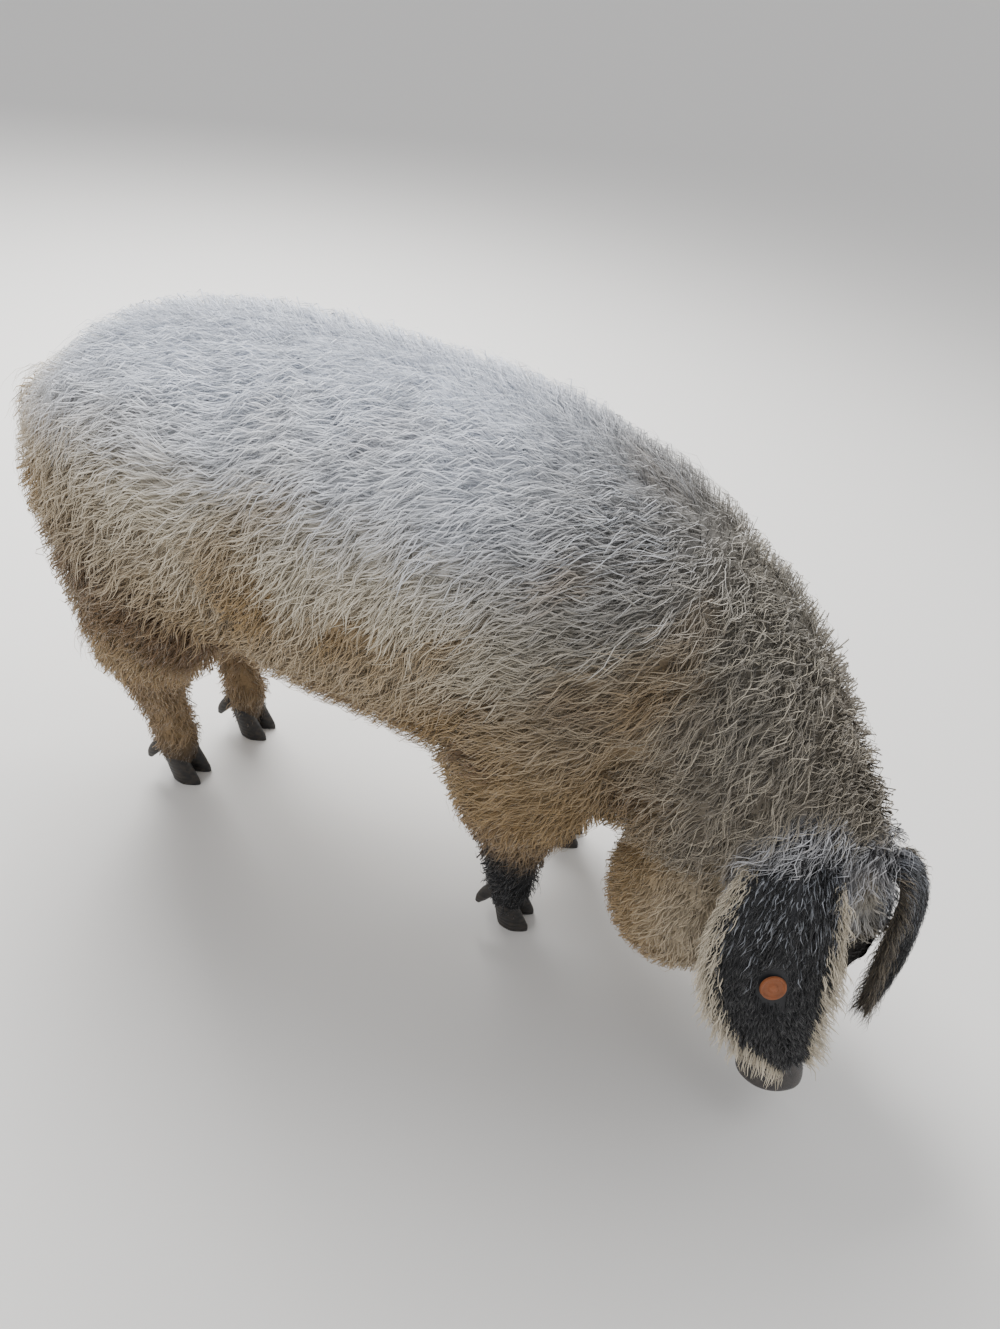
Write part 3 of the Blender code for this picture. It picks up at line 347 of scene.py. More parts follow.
# Colours as the eye sees them (sRGB).
CREAM = "#E8DDC6"
# The pale hair of the back, tinted blue as painted sky light.
SKY_LIT_SILVER = "#F0F5FF"
# The neck's grey beige, darkened as painted shade.
SHADED_BEIGE_GREY = "#7A756C"
TAN = "#A98D63"
RUST = "#745A3D"
SLATE = "#101114"
EAR_SHEEN = "#27282D"
SNOUT_SKIN = "#2B2929"
SNOUT_PALE = "#57504B"
HORN_DARK = "#1A1817"
HORN_PALE = "#4C453D"
TAG_ORANGE = "#8C4E26"
TAG_DIRT = "#6B3F22"
IRIS = "#4A2E1A"
PUPIL = "#050404"
EYE_WHITE = "#7C6658"
FLOOR = "#E0DEDA"
HORIZON = "#DDDCDA"
ZENITH = "#FAFBFF"

# Camera: place and directions as worked out from the photograph, and its lens on 36 mm film.
CAMERA_PLACE = (0.654, -1.065, 1.300)
CAMERA_RIGHT = (0.939, 0.305, 0.158)
CAMERA_UP = (-0.313, 0.570, 0.759)
CAMERA_LENS = 25.27


# Numbers and directions.


def unit(v):
    """Vectors brought to length 1."""
    return v / np.maximum(np.linalg.norm(v, axis=-1, keepdims=True), 1e-12)


def ramp(low, high, value):
    """A smooth step from 0 at low to 1 at high: 3t^2 - 2t^3."""
    t = np.clip((value - low) / (high - low), 0, 1)
    return t * t * (3 - 2 * t)


def turned(v, axis, angle):
    """Vectors turned about an axis by Rodrigues' formula."""
    c, s = np.cos(angle)[..., None], np.sin(angle)[..., None]
    along = (v * axis).sum(-1, keepdims=True)
    return v * c + np.cross(axis, v) * s + axis * along * (1 - c)


def drift(points, size, seed):
    """Smooth chance values from -1 to 1: random numbers on a cubic lattice, blended between the
    corners of each cell."""
    table = np.random.default_rng(seed).uniform(-1, 1, (32, 32, 32))
    place = points / size + 500
    low = np.floor(place).astype(int)
    part = ramp(0, 1, place - low)
    total = np.zeros(len(points))
    for corner in itertools.product((0, 1), repeat=3):
        weight = np.where(corner, part, 1 - part).prod(axis=1)
        total += weight * table[tuple(((low + corner) % 32).T)]
    return total


def flowing(rows, steps):
    """Rows of numbers with a smooth run between each two: the Catmull-Rom cubic."""
    rows = np.array(rows, float)
    padded = np.vstack([2 * rows[0] - rows[1], rows, 2 * rows[-1] - rows[-2]])
    t = (np.arange(steps) / steps)[None, :, None]
    a, b, c, d = (padded[i : i + len(rows) - 1, None, :] for i in range(4))
    curve = 2 * b + (c - a) * t + (2 * a - 5 * b + 4 * c - d) * t**2 + (3 * b - a - 3 * c + d) * t**3
    return np.vstack([0.5 * curve.reshape(-1, rows.shape[1]), rows[-1]])


def head_point(down, left, depth):
    """A point of the head from its distance down the face, to her left, and under the poll."""
    down, left, depth = (np.asarray(v, float)[..., None] for v in (down, left, depth))
    return POLL + FACE * down + LEFT * left - BROW * depth


def head_place(points):
    """The way back from head_point: down the face, to her left, and depth under the poll."""
    offset = points - POLL
    return offset @ FACE, offset @ LEFT, -(offset @ BROW)


def eye_middle(side):
    down, out, depth = EYE
    return head_point(down, side * out, depth)


def mouth_depth(down):
    """How deep under the poll the line of the mouth runs, this far down the face."""
    line = np.array(MOUTH)
    return np.interp(down, line[:, 0], line[:, 1])


# The part's own eye gives how far the tables are moved to stand in the frame.
eye_low, eye_high = (np.array(corner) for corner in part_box("eye_right"))
SHIFT = (eye_low + eye_high) / 2 - eye_middle(-1)


# Surfaces.


def sweep(rows, side, power, around, steps=4, level=False):
    """A rounded oblong carried along a line. A ring is its middle plus across * a * r * cos plus
    up * b * r * sin, with r = (|cos|^p + |sin|^p)^(-1/p). Rows: x, y, z, a, b."""
    rows = flowing(rows, steps)
    forward = unit(np.gradient(rows[:, :3], axis=0))
    if level:
        forward[:] = (0, 0, 1)
    side = np.array(side, float)
    across = unit(side - forward * (forward @ side)[:, None])
    up = np.cross(forward, across)
    angle = 2 * np.pi * np.arange(around) / around
    c, s = np.cos(angle), np.sin(angle)
    reach = (np.abs(c) ** power + np.abs(s) ** power) ** (-1 / power)
    sideways = (rows[:, 3, None] * reach * c)[..., None] * across[:, None]
    upwards = (rows[:, 4, None] * reach * s)[..., None] * up[:, None]
    return rows[:, None, :3] + sideways + upwards


def shell(grid):
    """A closed surface over rings of points: two triangles between neighbours, a fan at each end."""
    rings, around = grid.shape[:2]
    points = np.vstack([grid.reshape(-1, 3), grid[0].mean(axis=0), grid[-1].mean(axis=0)])
    i = np.arange(around)
    j = (i + 1) % around
    ring = np.arange(rings - 1)[:, None] * around
    a, b = ring + i, ring + j
    first = np.stack([a, b, b + around], -1).reshape(-1, 3)
    second = np.stack([a, b + around, a + around], -1).reshape(-1, 3)
    start = np.stack([np.full(around, rings * around), j, i], -1)
    last = (rings - 1) * around
    end = np.stack([np.full(around, rings * around + 1), last + i, last + j], -1)
    triangles = np.vstack([first, second, start, end])
    corners = points[triangles]
    volume = np.einsum("ij,ij->", corners[:, 0], np.cross(corners[:, 1], corners[:, 2]))
    return points, triangles if volume > 0 else triangles[:, ::-1]


def joined(shells):
    """Several closed surfaces as one list of points and one of triangles."""
    all_points, all_triangles = zip(*shells)
    counts = np.cumsum([0] + [len(points) for points in all_points])
    triangles = [triangles + count for triangles, count in zip(all_triangles, counts)]
    return np.vstack(all_points), np.vstack(triangles)


def circle(axis, start, count):
    """Directions all round an axis, from the one at right angles to it and to start."""
    first = unit(np.cross(axis, start))
    second = np.cross(axis, first)
    angle = 2 * np.pi * np.arange(count) / count
    return first * np.cos(angle)[:, None] + second * np.sin(angle)[:, None]


def mesh_object(name, points, triangles):
    mesh = bpy.data.meshes.new(name)
    mesh.vertices.add(len(points))
    mesh.vertices.foreach_set("co", np.asarray(points, np.float32).ravel())
    mesh.loops.add(triangles.size)
    mesh.loops.foreach_set("vertex_index", np.asarray(triangles, np.int32).ravel())
    mesh.polygons.add(len(triangles))
    mesh.polygons.foreach_set("loop_start", np.arange(0, triangles.size, 3, dtype=np.int32))
    mesh.polygons.foreach_set("use_smooth", np.ones(len(triangles), bool))
    mesh.update(calc_edges=True)
    obj = bpy.data.objects.new(name, mesh)
    bpy.context.scene.collection.objects.link(obj)
    return obj


def grid_object(name, grid):
    """A closed piece over rings of points, moved to its place in the frame."""
    points, triangles = shell(grid)
    return mesh_object(name, points + SHIFT, triangles)


def number_per_point(obj, name, values):
    attribute = obj.data.attributes.new(name, "FLOAT", "POINT")
    attribute.data.foreach_set("value", np.asarray(values, np.float32))


def colour_per_point(obj, name, values):
    attribute = obj.data.attributes.new(name, "FLOAT_COLOR", "POINT")
    attribute.data.foreach_set("color", np.asarray(values, np.float32).ravel())


def map_per_point(obj, name, uv):
    """A UV map from one pair of numbers for each point."""
    corner = np.empty(len(obj.data.loops), np.int32)
    obj.data.loops.foreach_get("vertex_index", corner)
    layer = obj.data.uv_layers.new(name=name)
    layer.uv.foreach_set("vector", np.asarray(uv, np.float32)[corner].ravel())


def points_of(mesh):
    points = np.empty(len(mesh.vertices) * 3)
    mesh.vertices.foreach_get("co", points)
    return points.reshape(-1, 3)


def set_points(mesh, points):
    mesh.vertices.foreach_set("co", np.asarray(points, np.float32).ravel())
    mesh.update()


def normals_of(mesh):
    normals = np.empty(len(mesh.vertices) * 3, np.float32)
    mesh.vertex_normals.foreach_get("vector", normals)
    return normals.reshape(-1, 3).astype(float)


def bake(obj):
    """Applies an object's modifiers."""
    graph = bpy.context.evaluated_depsgraph_get()
    mesh = bpy.data.meshes.new_from_object(obj.evaluated_get(graph))
    obj.modifiers.clear()
    obj.data = mesh


def dress(obj, material, slot, *nodes):
    """Gives a finished piece its material and its place on the body."""
    obj.data.materials.clear()
    obj.data.materials.append(material)
    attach(obj, "root")
    if nodes:
        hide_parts(*nodes)


# The body's forms.


def leg_rows(foot):
    """The rows of a leg, with its lower part swung over to its own foot."""
    rows, home, place, side = FEET[foot]
    rows = np.array(rows)
    rows[:, 1] *= -side
    swing = 1 - ramp(0.05, LEG_SWING_TOP, rows[:, 2])
    rows[:, 0] += swing * (place[0] - home[0])
    rows[:, 1] += swing * (place[1] + side * home[1])
    return rows


def head_rows(table):
    table = np.array(table)
    return np.hstack([head_point(table[:, 0], 0 * table[:, 0], table[:, 1]), table[:, 2:]])


def jowl(down, left, depth, radius):
    """An ellipsoid: rings of radius sin, set at cos along her left."""
    polar = np.linspace(0.03, 0.97, 14) * np.pi
    middle = head_point(down, left, depth)
    rows = np.hstack([
        middle + LEFT * (-np.cos(polar) * radius * 0.9)[:, None],
        np.repeat((np.sin(polar) * radius)[:, None], 2, axis=1),
    ])
    return sweep(rows, FACE, 2.0, 28, 1)


def torso_rows():
    x, back, belly, half = np.array(TORSO).T
    return np.stack([x, 0 * x, (back + belly) / 2, half, (back - belly) / 2], -1)


def toe_grid(foot, side, rows):
    """A toe: level ovals stacked along its height, each pinched towards its tip."""
    place = FEET[foot][2]
    y = place[1] + side * TOE_OFFSET
    z, dx, length, width = np.array(rows).T
    ovals = np.stack([place[0] + dx, y + 0 * z, z, length, width], -1)
    grid = sweep(ovals, (1, 0, 0), 2.0, 28, 4, True)
    ahead = np.clip((grid[..., 0] - place[0] - TOE[0][1]) / TOE[0][2], 0, 1)
    grid[..., 1] = y + (grid[..., 1] - y) * (1 - TOE_PINCH * ahead)
    return grid


def dewclaw_grid(foot, side):
    place = FEET[foot][2]
    dx, dy, z, r = np.array(DEWCLAW).T
    rows = np.stack([place[0] + dx, place[1] + side * dy, z, r, r * 0.85], -1)
    return sweep(rows, (1, 0, 0), 2.0, 20, 5)


def body_shells():
    """The closed forms that fuse into one skin."""
    grids = [
        sweep(torso_rows(), (0, 1, 0), 2.25, 48),
        sweep(NECK, (0, 1, 0), 2.15, 40),
        sweep(head_rows(HEAD), LEFT, 2.2, 40),
        sweep(head_rows(JAW), LEFT, 2.1, 28),
        sweep([(*row, row[3]) for row in TAIL], (0, 1, 0), 2.0, 20),
    ]
    grids += [jowl(*row) for row in JOWLS]
    for foot in FEET:
        grids.append(sweep(leg_rows(foot), (1, 0, 0), 2.1, 32))
        grids += [toe_grid(foot, side, TOE[2:]) for side in SIDES]
    return [shell(grid) for grid in grids]


def finer_face(mesh):
    """Splits the faces of the face and muzzle once more, for its folds and lips."""
    ends = np.empty(len(mesh.edges) * 2, np.int32)
    mesh.edges.foreach_get("vertices", ends)
    first, second = points_of(mesh)[ends.reshape(-1, 2)].transpose(1, 0, 2)
    on_face = (head_place((first + second) / 2)[0] > 0.03) & (first[:, 0] > HEAD_X)
    work = bmesh.new()
    work.from_mesh(mesh)
    work.edges.ensure_lookup_table()
    edges = [work.edges[i] for i in np.flatnonzero(on_face)]
    bmesh.ops.subdivide_edges(work, edges=edges, cuts=1, use_grid_fill=True, smooth=0.3)
    bmesh.ops.triangulate(work, faces=work.faces[:])
    work.to_mesh(mesh)
    work.free()


def half_width_at(down, depth):
    """Half the head's width at this distance down the face and depth under the poll."""
    table = np.array(HEAD)
    middle, width, height = (np.interp(down, table[:, 0], table[:, i]) for i in (1, 2, 3))
    part = np.minimum(1, np.abs(depth - middle) / height)
    return width * (1 - part**2.2) ** (1 / 2.2)


def face_relief(points):
    """How far the face's skin stands out or in: rings of folds across the muzzle, folds over and
    under the eye, its socket, the line of the mouth and the lips."""
    down, left, depth = head_place(points)
    out = np.abs(left)
    muzzle = ramp(0.165, 0.20, down) * (1 - ramp(0.288, 0.302, down)) * (1 - ramp(0.125, 0.150, depth))
    bend = down + 0.35 * out**1.3 + 0.0035 * drift(points, 0.03, 4)
    folds = 0.0019 * muzzle * np.sin(2 * np.pi * bend / MUZZLE_FOLDS)
    away = np.sqrt((down - EYE[0]) ** 2 + 0.7 * (depth - EYE[2]) ** 2)
    beside = ramp(0.045, 0.06, out)
    socket = -0.0045 * beside * np.exp(-((away / 0.021) ** 4))
    near_eye = beside * np.exp(-(((away - 0.033) / 0.012) ** 2))
    round_eye = 0.0022 * near_eye * np.sin(2 * np.pi * away / EYE_FOLDS)
    brow = ramp(0.055, 0.075, down) * (1 - ramp(0.10, 0.13, down)) * (1 - ramp(0.03, 0.06, depth))
    brow_folds = 0.0020 * brow * np.sin(2 * np.pi * (down + 0.5 * out) / BROW_FOLDS)
    line = mouth_depth(down)
    share_out = out / np.maximum(half_width_at(down, line), 0.01)
    gap = depth - line
    lips = 0.0030 * np.exp(-(((np.abs(gap) - 0.006) / 0.004) ** 2)) - 0.0040 * np.exp(-((gap / 0.0026) ** 2))
    mouth = ramp(0.150, 0.165, down) * ramp(0.6, 0.8, share_out) * lips
    return folds + socket + round_eye + brow_folds + mouth


def body_relief(points):
    """Shallow folds of the body: behind the jowl, down the throat, and before the thigh."""
    x, y, z = points.T
    side = np.abs(y) / 0.2
    elbow = np.exp(-(((x - 0.455 - 0.10 * (0.42 - z)) / 0.020) ** 2)) * (1 - ramp(0.40, 0.56, z))
    flank = np.exp(-(((x - 0.115 - 0.25 * (0.5 - z)) / 0.022) ** 2)) * (1 - ramp(0.50, 0.64, z))
    wander = 0.004 * drift(points, 0.11, 21) + 0.002 * drift(points, 0.05, 22)
    creases = 0.012 * (elbow + flank) * np.minimum(1, side)
    return (1 - ramp(0.82, 0.90, x)) * ramp(0.26, 0.36, z) * (wander - creases)


def lid_grids(side):
    """Upper and lower lid: a bowed roll of flesh from corner to corner of the eye."""
    for sign, open_by in ((-1, 1.0), (1, 0.75)):
        t = np.linspace(-1, 1, 17)
        bow = np.sqrt(1 - t * t)
        place = head_point(
            EYE[0] + t * LID_HALF_WIDTH,
            side * (EYE[1] + 0.0012 + 0.0098 * bow),
            EYE[2] + sign * LID_OPENING * open_by * bow,
        )
        radius = 0.0030 + 0.0014 * bow
        yield sweep(np.hstack([place, radius[:, None] * 1.25, radius[:, None]]), BROW, 2.0, 12, 1)


def fused_skin():
    """One skin over the whole body: its forms fused, smoothed, and lifted into folds."""
    points, triangles = joined(body_shells())
    skin = mesh_object("skin", points, triangles)
    remesh = skin.modifiers.new("fuse", "REMESH")
    remesh.mode = "VOXEL"
    remesh.voxel_size = SKIN_CELL
    smooth = skin.modifiers.new("smooth", "SMOOTH")
    smooth.factor = 0.5
    smooth.iterations = SKIN_SMOOTHING
    bake(skin)
    mesh = skin.data
    finer_face(mesh)
    points, normals = points_of(mesh), normals_of(mesh)
    on_face = ramp(0.02, 0.05, head_place(points)[0]) * (points[:, 0] > HEAD_X)
    lift = face_relief(points) * on_face + body_relief(points) * (1 - on_face)
    set_points(mesh, points + normals * lift[:, None])
    return skin


# The ground that the coat is combed over.


class Ground:
    """Finds the nearest place of the skin for many points at once. Space is split into small
    cells, each of which holds the number of a face that lies in it or near it."""

    CELL = 0.008
    REACH = 7

    def __init__(self, centres, normals):
        self.centres, self.normals = centres, normals
        self.low = centres.min(axis=0) - self.CELL * (self.REACH + 2)
        self.size = np.ceil((centres.max(axis=0) - self.low) / self.CELL).astype(int) + self.REACH + 3
        self.cells = np.full(self.size, -1, np.int32)
        self.cells[tuple(self.index(centres).T)] = np.arange(len(centres))
        for _ in range(self.REACH):
            for axis, way in itertools.product(range(3), (-1, 1)):
                near = np.roll(self.cells, way, axis=axis)
                empty = self.cells < 0
                self.cells[empty] = near[empty]

    def index(self, points):
        return np.clip(np.floor((points - self.low) / self.CELL).astype(int), 0, self.size - 1)

    def touch(self, points):
        """The foot of each point on the skin and the skin's normal there."""
        face = self.cells[tuple(self.index(points).T)]
        normal, centre = self.normals[face], self.centres[face]
        height = ((points - centre) * normal).sum(axis=1, keepdims=True)
        return points - normal * height, normal


def faces_of(mesh):
    """Middle, smoothed normal and area of every triangle."""
    points, normals = points_of(mesh), normals_of(mesh)
    corner = np.empty(len(mesh.loops), np.int32)
    mesh.loops.foreach_get("vertex_index", corner)
    corner = corner.reshape(-1, 3)
    a, b, c = (points[corner[:, i]] for i in range(3))
    area = np.linalg.norm(np.cross(b - a, c - a), axis=1) / 2
    return (a + b + c) / 3, unit(normals[corner].sum(axis=1)), area


# Where the coat is what.


def weights_at(points):
    """How much each region of the coat counts at these places. The weights add up to 1."""
    x, z = points[:, 0], points[:, 2]
    down, _, depth = head_place(points)
    *middle, radius = JOWLS[0]
    from_jowl = np.linalg.norm(points - head_point(*middle), axis=1)
    near_jowl = 1 - ramp(radius + 0.005, radius + 0.04, from_jowl)
    on_head = ramp(-0.05, 0.00, down) * np.maximum(ramp(0.80, 0.86, x), near_jowl)
    cheek = np.maximum(near_jowl, ramp(0.05, 0.10, depth) * (1 - ramp(0.085, 0.135, down)))
    brow = (1 - cheek) * (1 - ramp(0.045, 0.09, down))
    leg = (1 - ramp(0.27, 0.37, z)) * (1 - ramp(0.70, 0.76, x)) * (1 - on_head)
    foot = 1 - ramp(0.075, 0.125, z)
    neck = ramp(0.62, 0.80, x) * (1 - on_head) * (1 - leg)
    weights = {
        "cheek": on_head * cheek,
        "brow": on_head * brow,
        "face": on_head * (1 - cheek) * (1 - brow / np.maximum(1 - cheek, 1e-6)),
        "leg": leg * (1 - foot),
        "foot": leg * foot,
        "neck": neck,
        "torso": (1 - on_head) * (1 - leg) * (1 - neck),
    }
    total = np.maximum(sum(weights.values()), 1e-6)
    return {name: weight / total for name, weight in weights.items()}


def on_head_or_leg(weights):
    """Which places belong to the head, and which to a leg."""
    head = weights["cheek"] + weights["brow"] + weights["face"]
    return head > 0.5, weights["leg"] + weights["foot"] > 0.5


def coat_at(weights, column):
    """One column of the table of the coat, blended between the regions."""
    return sum(weights[name] * COAT[name][column] for name in COAT)


def lie_at(points, normals):
    """The way the coat lies: back from the spine, down the flanks, rump and legs, along the face."""
    x, y = points[:, 0], points[:, 1]
    side = np.clip(y / 0.06, -1, 1)
    weights = weights_at(points)
    rump = 1 - ramp(-0.16, 0.00, x)
    up = ramp(0.35, 0.95, normals[:, 2])
    under = ramp(0.3, 0.8, -normals[:, 2])
    zero = 0 * x
    flank = np.stack([zero - 0.80, zero, zero - 0.62], -1)
    back = np.stack([zero - 1.0, 0.55 * side, zero - 0.1], -1)
    belly = np.stack([zero - 1.0, zero, zero], -1)
    down_rump = np.stack([zero - 0.35, 0.15 * side, zero - 1.0], -1)
    torso = flank * (1 - up - under)[:, None] + back * up[:, None] + belly * under[:, None]
    torso = torso * (1 - rump)[:, None] + down_rump * rump[:, None]
    neck = np.stack([zero - 0.70, 0.50 * side, zero - 0.55], -1)
    leg = np.stack([zero - 0.18, zero, zero - 1.0], -1)
    cheek = np.stack([zero - 0.35, zero, zero - 1.0], -1)
    sideways = LEFT * np.sign(head_place(points)[1])[:, None]
    brow = FACE * 0.9 + sideways * 0.3
    face = -FACE * 0.55 + sideways * 0.5 - BROW * 0.35
    ways = {"torso": torso, "neck": neck, "leg": leg, "foot": leg, "cheek": cheek}
    ways.update(brow=brow, face=face)
    way = sum(ways[name] * weights[name][:, None] for name in ways)
    veer = 0.45 * drift(points, 0.18, 31) + 0.26 * drift(points, 0.08, 32)
    way = way - normals * (way * normals).sum(axis=1, keepdims=True)
    return turned(unit(way), normals, veer)


# Markings, the same on skin and coat.


def slate_at(points, weights, patch):
    """Dark slate: round the ears' roots and between them, over the face and muzzle, round the eyes, and in
    the socks of the legs. The dark of the face below the poll is partly its own dark hair and partly painted
    shade under the ears, and the fore socks are partly painted shade."""
    x, z = points[:, 0], points[:, 2]
    down, left, depth = head_place(points)
    on_face = ramp(HEAD_X, 0.9, x)
    by_right, by_left = (np.linalg.norm(points - head_point(*root), axis=1) for root in EAR_ROOTS)
    roots = 0.95 * (1 - ramp(0.055, 0.105, np.minimum(by_right, by_left + 0.015) + 0.012 * patch))
    band = np.exp(-(((down + 0.045) / 0.026) ** 2)) * ramp(0.84, 0.92, x) * (1 - ramp(0.05, 0.13, depth))
    band *= 0.85 * ramp(-0.9, 0.3, patch)
    # Dark from just below the poll down the face and muzzle: partly the face's own dark hair, partly painted
    # shade under the ears.
    muzzle = 0.97 * ramp(0.01, 0.07, down + 0.02 * patch) * on_face * (1 - 0.5 * ramp(0.14, 0.20, depth))
    muzzle *= 1 - ramp(0.13, 0.20, depth) * (1 - ramp(0.15, 0.19, down))
    from_eye = ((down - EYE[0]) / 0.032) ** 2 + ((depth - EYE[2]) / 0.026) ** 2
    eye_ring = 0.97 * np.exp(-(from_eye**2)) * ramp(0.04, 0.06, np.abs(left)) * on_face
    # The fore socks are higher and darker, partly as painted shade.
    height, most = np.where((x > LEG_SPLIT)[:, None], FORE_SOCK_AND_SHADE, HIND_SOCK).T
    sock = 1 - ramp(-0.05, 0.05, z - height - 0.02 * patch)
    sock *= most * (weights["leg"] + weights["foot"])
    return np.max([roots, band, muzzle, eye_ring, sock], axis=0)


def marks_at(points, normals):
    """Weights of the markings: tan, rust, dark slate, grey beige that is partly painted shade, and the pale
    hair of the back, spread where it faces up as painted sky light.
    """
    x, y, z = points.T
    down, _, depth = head_place(points)
    weights = weights_at(points)
    torso, neck, leg, foot = (weights[name] for name in ("torso", "neck", "leg", "foot"))
    patch = drift(points, 0.10, 51) + 0.5 * drift(points, 0.045, 52)
    height = z + 0.05 * patch
    low = 1 - ramp(0.40, 0.68, height)
    rump = 1 - ramp(-0.20, 0.10, x)
    tan = torso * np.maximum(0.95 * low, 0.8 * rump * (1 - ramp(0.55, 0.78, height)))
    along, cross = 0.79 * x + 0.61 * z, 0.79 * z - 0.61 * x
    blotch = drift(np.stack([0.45 * along, y, cross], -1), 0.055, 54)
    tan += 0.70 * torso * ramp(0.1, 0.65, blotch) * (1 - ramp(0.62, 0.80, height))
    tan += 0.92 * (leg + foot) + weights["cheek"] * (0.45 + 0.5 * ramp(0.10, 0.20, depth))
    tan += 0.15 * neck * low + 0.6 * weights["face"]
    streaky = drift(points * (0.55, 1.0, 1.25), 0.055, 53)
    rust = 0.85 * torso * ramp(0.05, 0.7, streaky) * (1 - ramp(0.50, 0.66, z + 0.04 * patch))
    ham = np.exp(-(((x + 0.02 + 0.8 * (z - 0.48)) / 0.11) ** 2) - ((z - 0.48) / 0.06) ** 2)
    rust += 0.95 * ham * (y < 0) * ramp(-0.9, 0.1, patch)
    rust += leg * (0.48 + 0.5 * ramp(0.0, 0.8, patch)) + 0.6 * foot
    # Grey beige on the neck, reaching back over the shoulder and ribs and growing towards the head: partly
    # the hair's own grey, partly painted shade.
    grey = 0.95 * neck + 0.75 * weights["brow"] + 0.85 * torso * ramp(0.36, 0.66, x)
    slate = slate_at(points, weights, patch)
    # The back's pale hair: its own colour, laid where the skin faces up and tinted blue as painted sky
    # light.
    sky_lit_silver = torso * ramp(0.60, 0.80, z + 0.04 * patch) * ramp(0.0, 0.6, normals[:, 2])
    sky_lit_silver *= ramp(-0.38, -0.12, x + 0.03 * patch)
    hoary = ramp(0.05, 0.6, slate) * (1 - ramp(0.02, 0.06, down)) * ramp(0.80, 0.88, x)
    marks = np.stack([tan, rust, slate, grey * (1 - 0.75 * hoary)], -1)
    return np.clip(marks, 0, 1), np.clip(sky_lit_silver + 0.9 * hoary, 0, 1)


def set_marks(obj, marks, sky_lit_silver):
    """Stores the markings for the shaders: tan, rust, slate and grey as one colour, and silver."""
    colour_per_point(obj, "marks", marks)
    number_per_point(obj, "sky_lit_silver", sky_lit_silver)


# Tufts.


def laid(field, along, turn):
    """A place in one field of the flat map, given from 0 to 1 both ways."""
    low_u, low_v, wide, high = field
    return low_u + along * wide, low_v + turn * high


def turn_round(a, b):
    """The angle of a place round a middle line, from 0 to 1."""
    return np.arctan2(a, b) / (2 * np.pi) + 0.5


def unwrap(points):
    """A flat map of the skin: how far along its own part each place lies, and at what angle round
    the middle of that part. Torso and neck, head, and each leg have fields of their own."""
    x, y, z = points.T
    down, left, depth = head_place(points)
    rows = np.vstack([torso_rows()[:-3], np.array(NECK)[1:]])
    middle_y, middle_z = (np.interp(x, rows[:, 0], rows[:, i]) for i in (1, 2))
    u, v = laid(BODY_FIELD, (x + 0.36) / 1.36, turn_round(y - middle_y, z - middle_z))
    head, leg = on_head_or_leg(weights_at(points))
    own_u, own_v = laid(HEAD_FIELD, np.clip((down + 0.10) / 0.45, 0, 1), turn_round(left, depth - 0.12))
    u, v = np.where(head, own_u, u), np.where(head, own_v, v)
    for place, foot in enumerate(FEET):
        rows = leg_rows(foot)[::-1]
        own = leg & ((x > LEG_SPLIT) == foot.startswith("fore")) & ((y > 0.01) == foot.endswith("left"))
        middle_x, middle_y = (np.interp(z, rows[:, 2], rows[:, i]) for i in (0, 1))
        own_u, own_v = laid(LEG_FIELD, turn_round(y - middle_y, x - middle_x), np.clip(z / 0.45, 0, 1))
        u, v = np.where(own, own_u, u), np.where(own, own_v + LEG_FIELD_STEP * place, v)
    return np.stack([u, v], -1)


def tuft_mesh(name, profile, paths, normals, widths, tones, marks, sky_lit_silver, charts):
    """Closed tufts along their paths. Each ring is two edges and a ridge, and the last point is
    the tip. The map OFBake holds each tuft as one small patch at its root's place."""
    count, rings = paths.shape[0], paths.shape[1] - 1
    paths = paths + SHIFT
    tangent = unit(np.gradient(paths, axis=1))
    across = unit(np.cross(tangent, normals))
    up = np.cross(across, tangent)
    size = (widths[:, None] * np.array(profile)[None, :])[..., None]
    body, across, up = paths[:, :rings], across[:, :rings], up[:, :rings]
    ring = np.stack([body - across * size, body + across * size, body + up * size * TUFT_RIDGE], axis=2)
    points = np.concatenate([ring.reshape(count, rings * 3, 3), paths[:, -1:]], axis=1)
    tip = rings * 3
    pattern = [(0, 1, 2)]
    for low in range(0, tip, 3):
        for a, b in ((0, 1), (1, 2), (2, 0)):
            if low + 3 < tip:
                pattern += [(low + a, low + a + 3, low + b + 3), (low + a, low + b + 3, low + b)]
            else:
                pattern.append((low + a, tip, low + b))
    triangles = (np.arange(count)[:, None, None] * (tip + 1) + np.array(pattern)[None]).reshape(-1, 3)
    obj = mesh_object(name, points.reshape(-1, 3), triangles)
    along = np.append(np.repeat(np.arange(rings) / rings, 3), 1.0)
    sideways = np.append(np.tile((0.0, 1.0, 0.5), rings), 0.5)
    local = np.stack([sideways, along], -1)[None]
    patch = charts[:, None] + (local - 0.5) * TUFT_PATCH
    map_per_point(obj, "OFBake", patch.reshape(-1, 2))
    strand = local * (0.7, 1.0) + tones[:, None, None] * (9.0, 5.0)
    map_per_point(obj, "Strand", strand.reshape(-1, 2))
    number_per_point(obj, "tone", np.repeat(tones, tip + 1))
    number_per_point(obj, "along", np.tile(along, count))
    set_marks(obj, np.repeat(marks, tip + 1, axis=0), np.repeat(sky_lit_silver, tip + 1))
    return obj


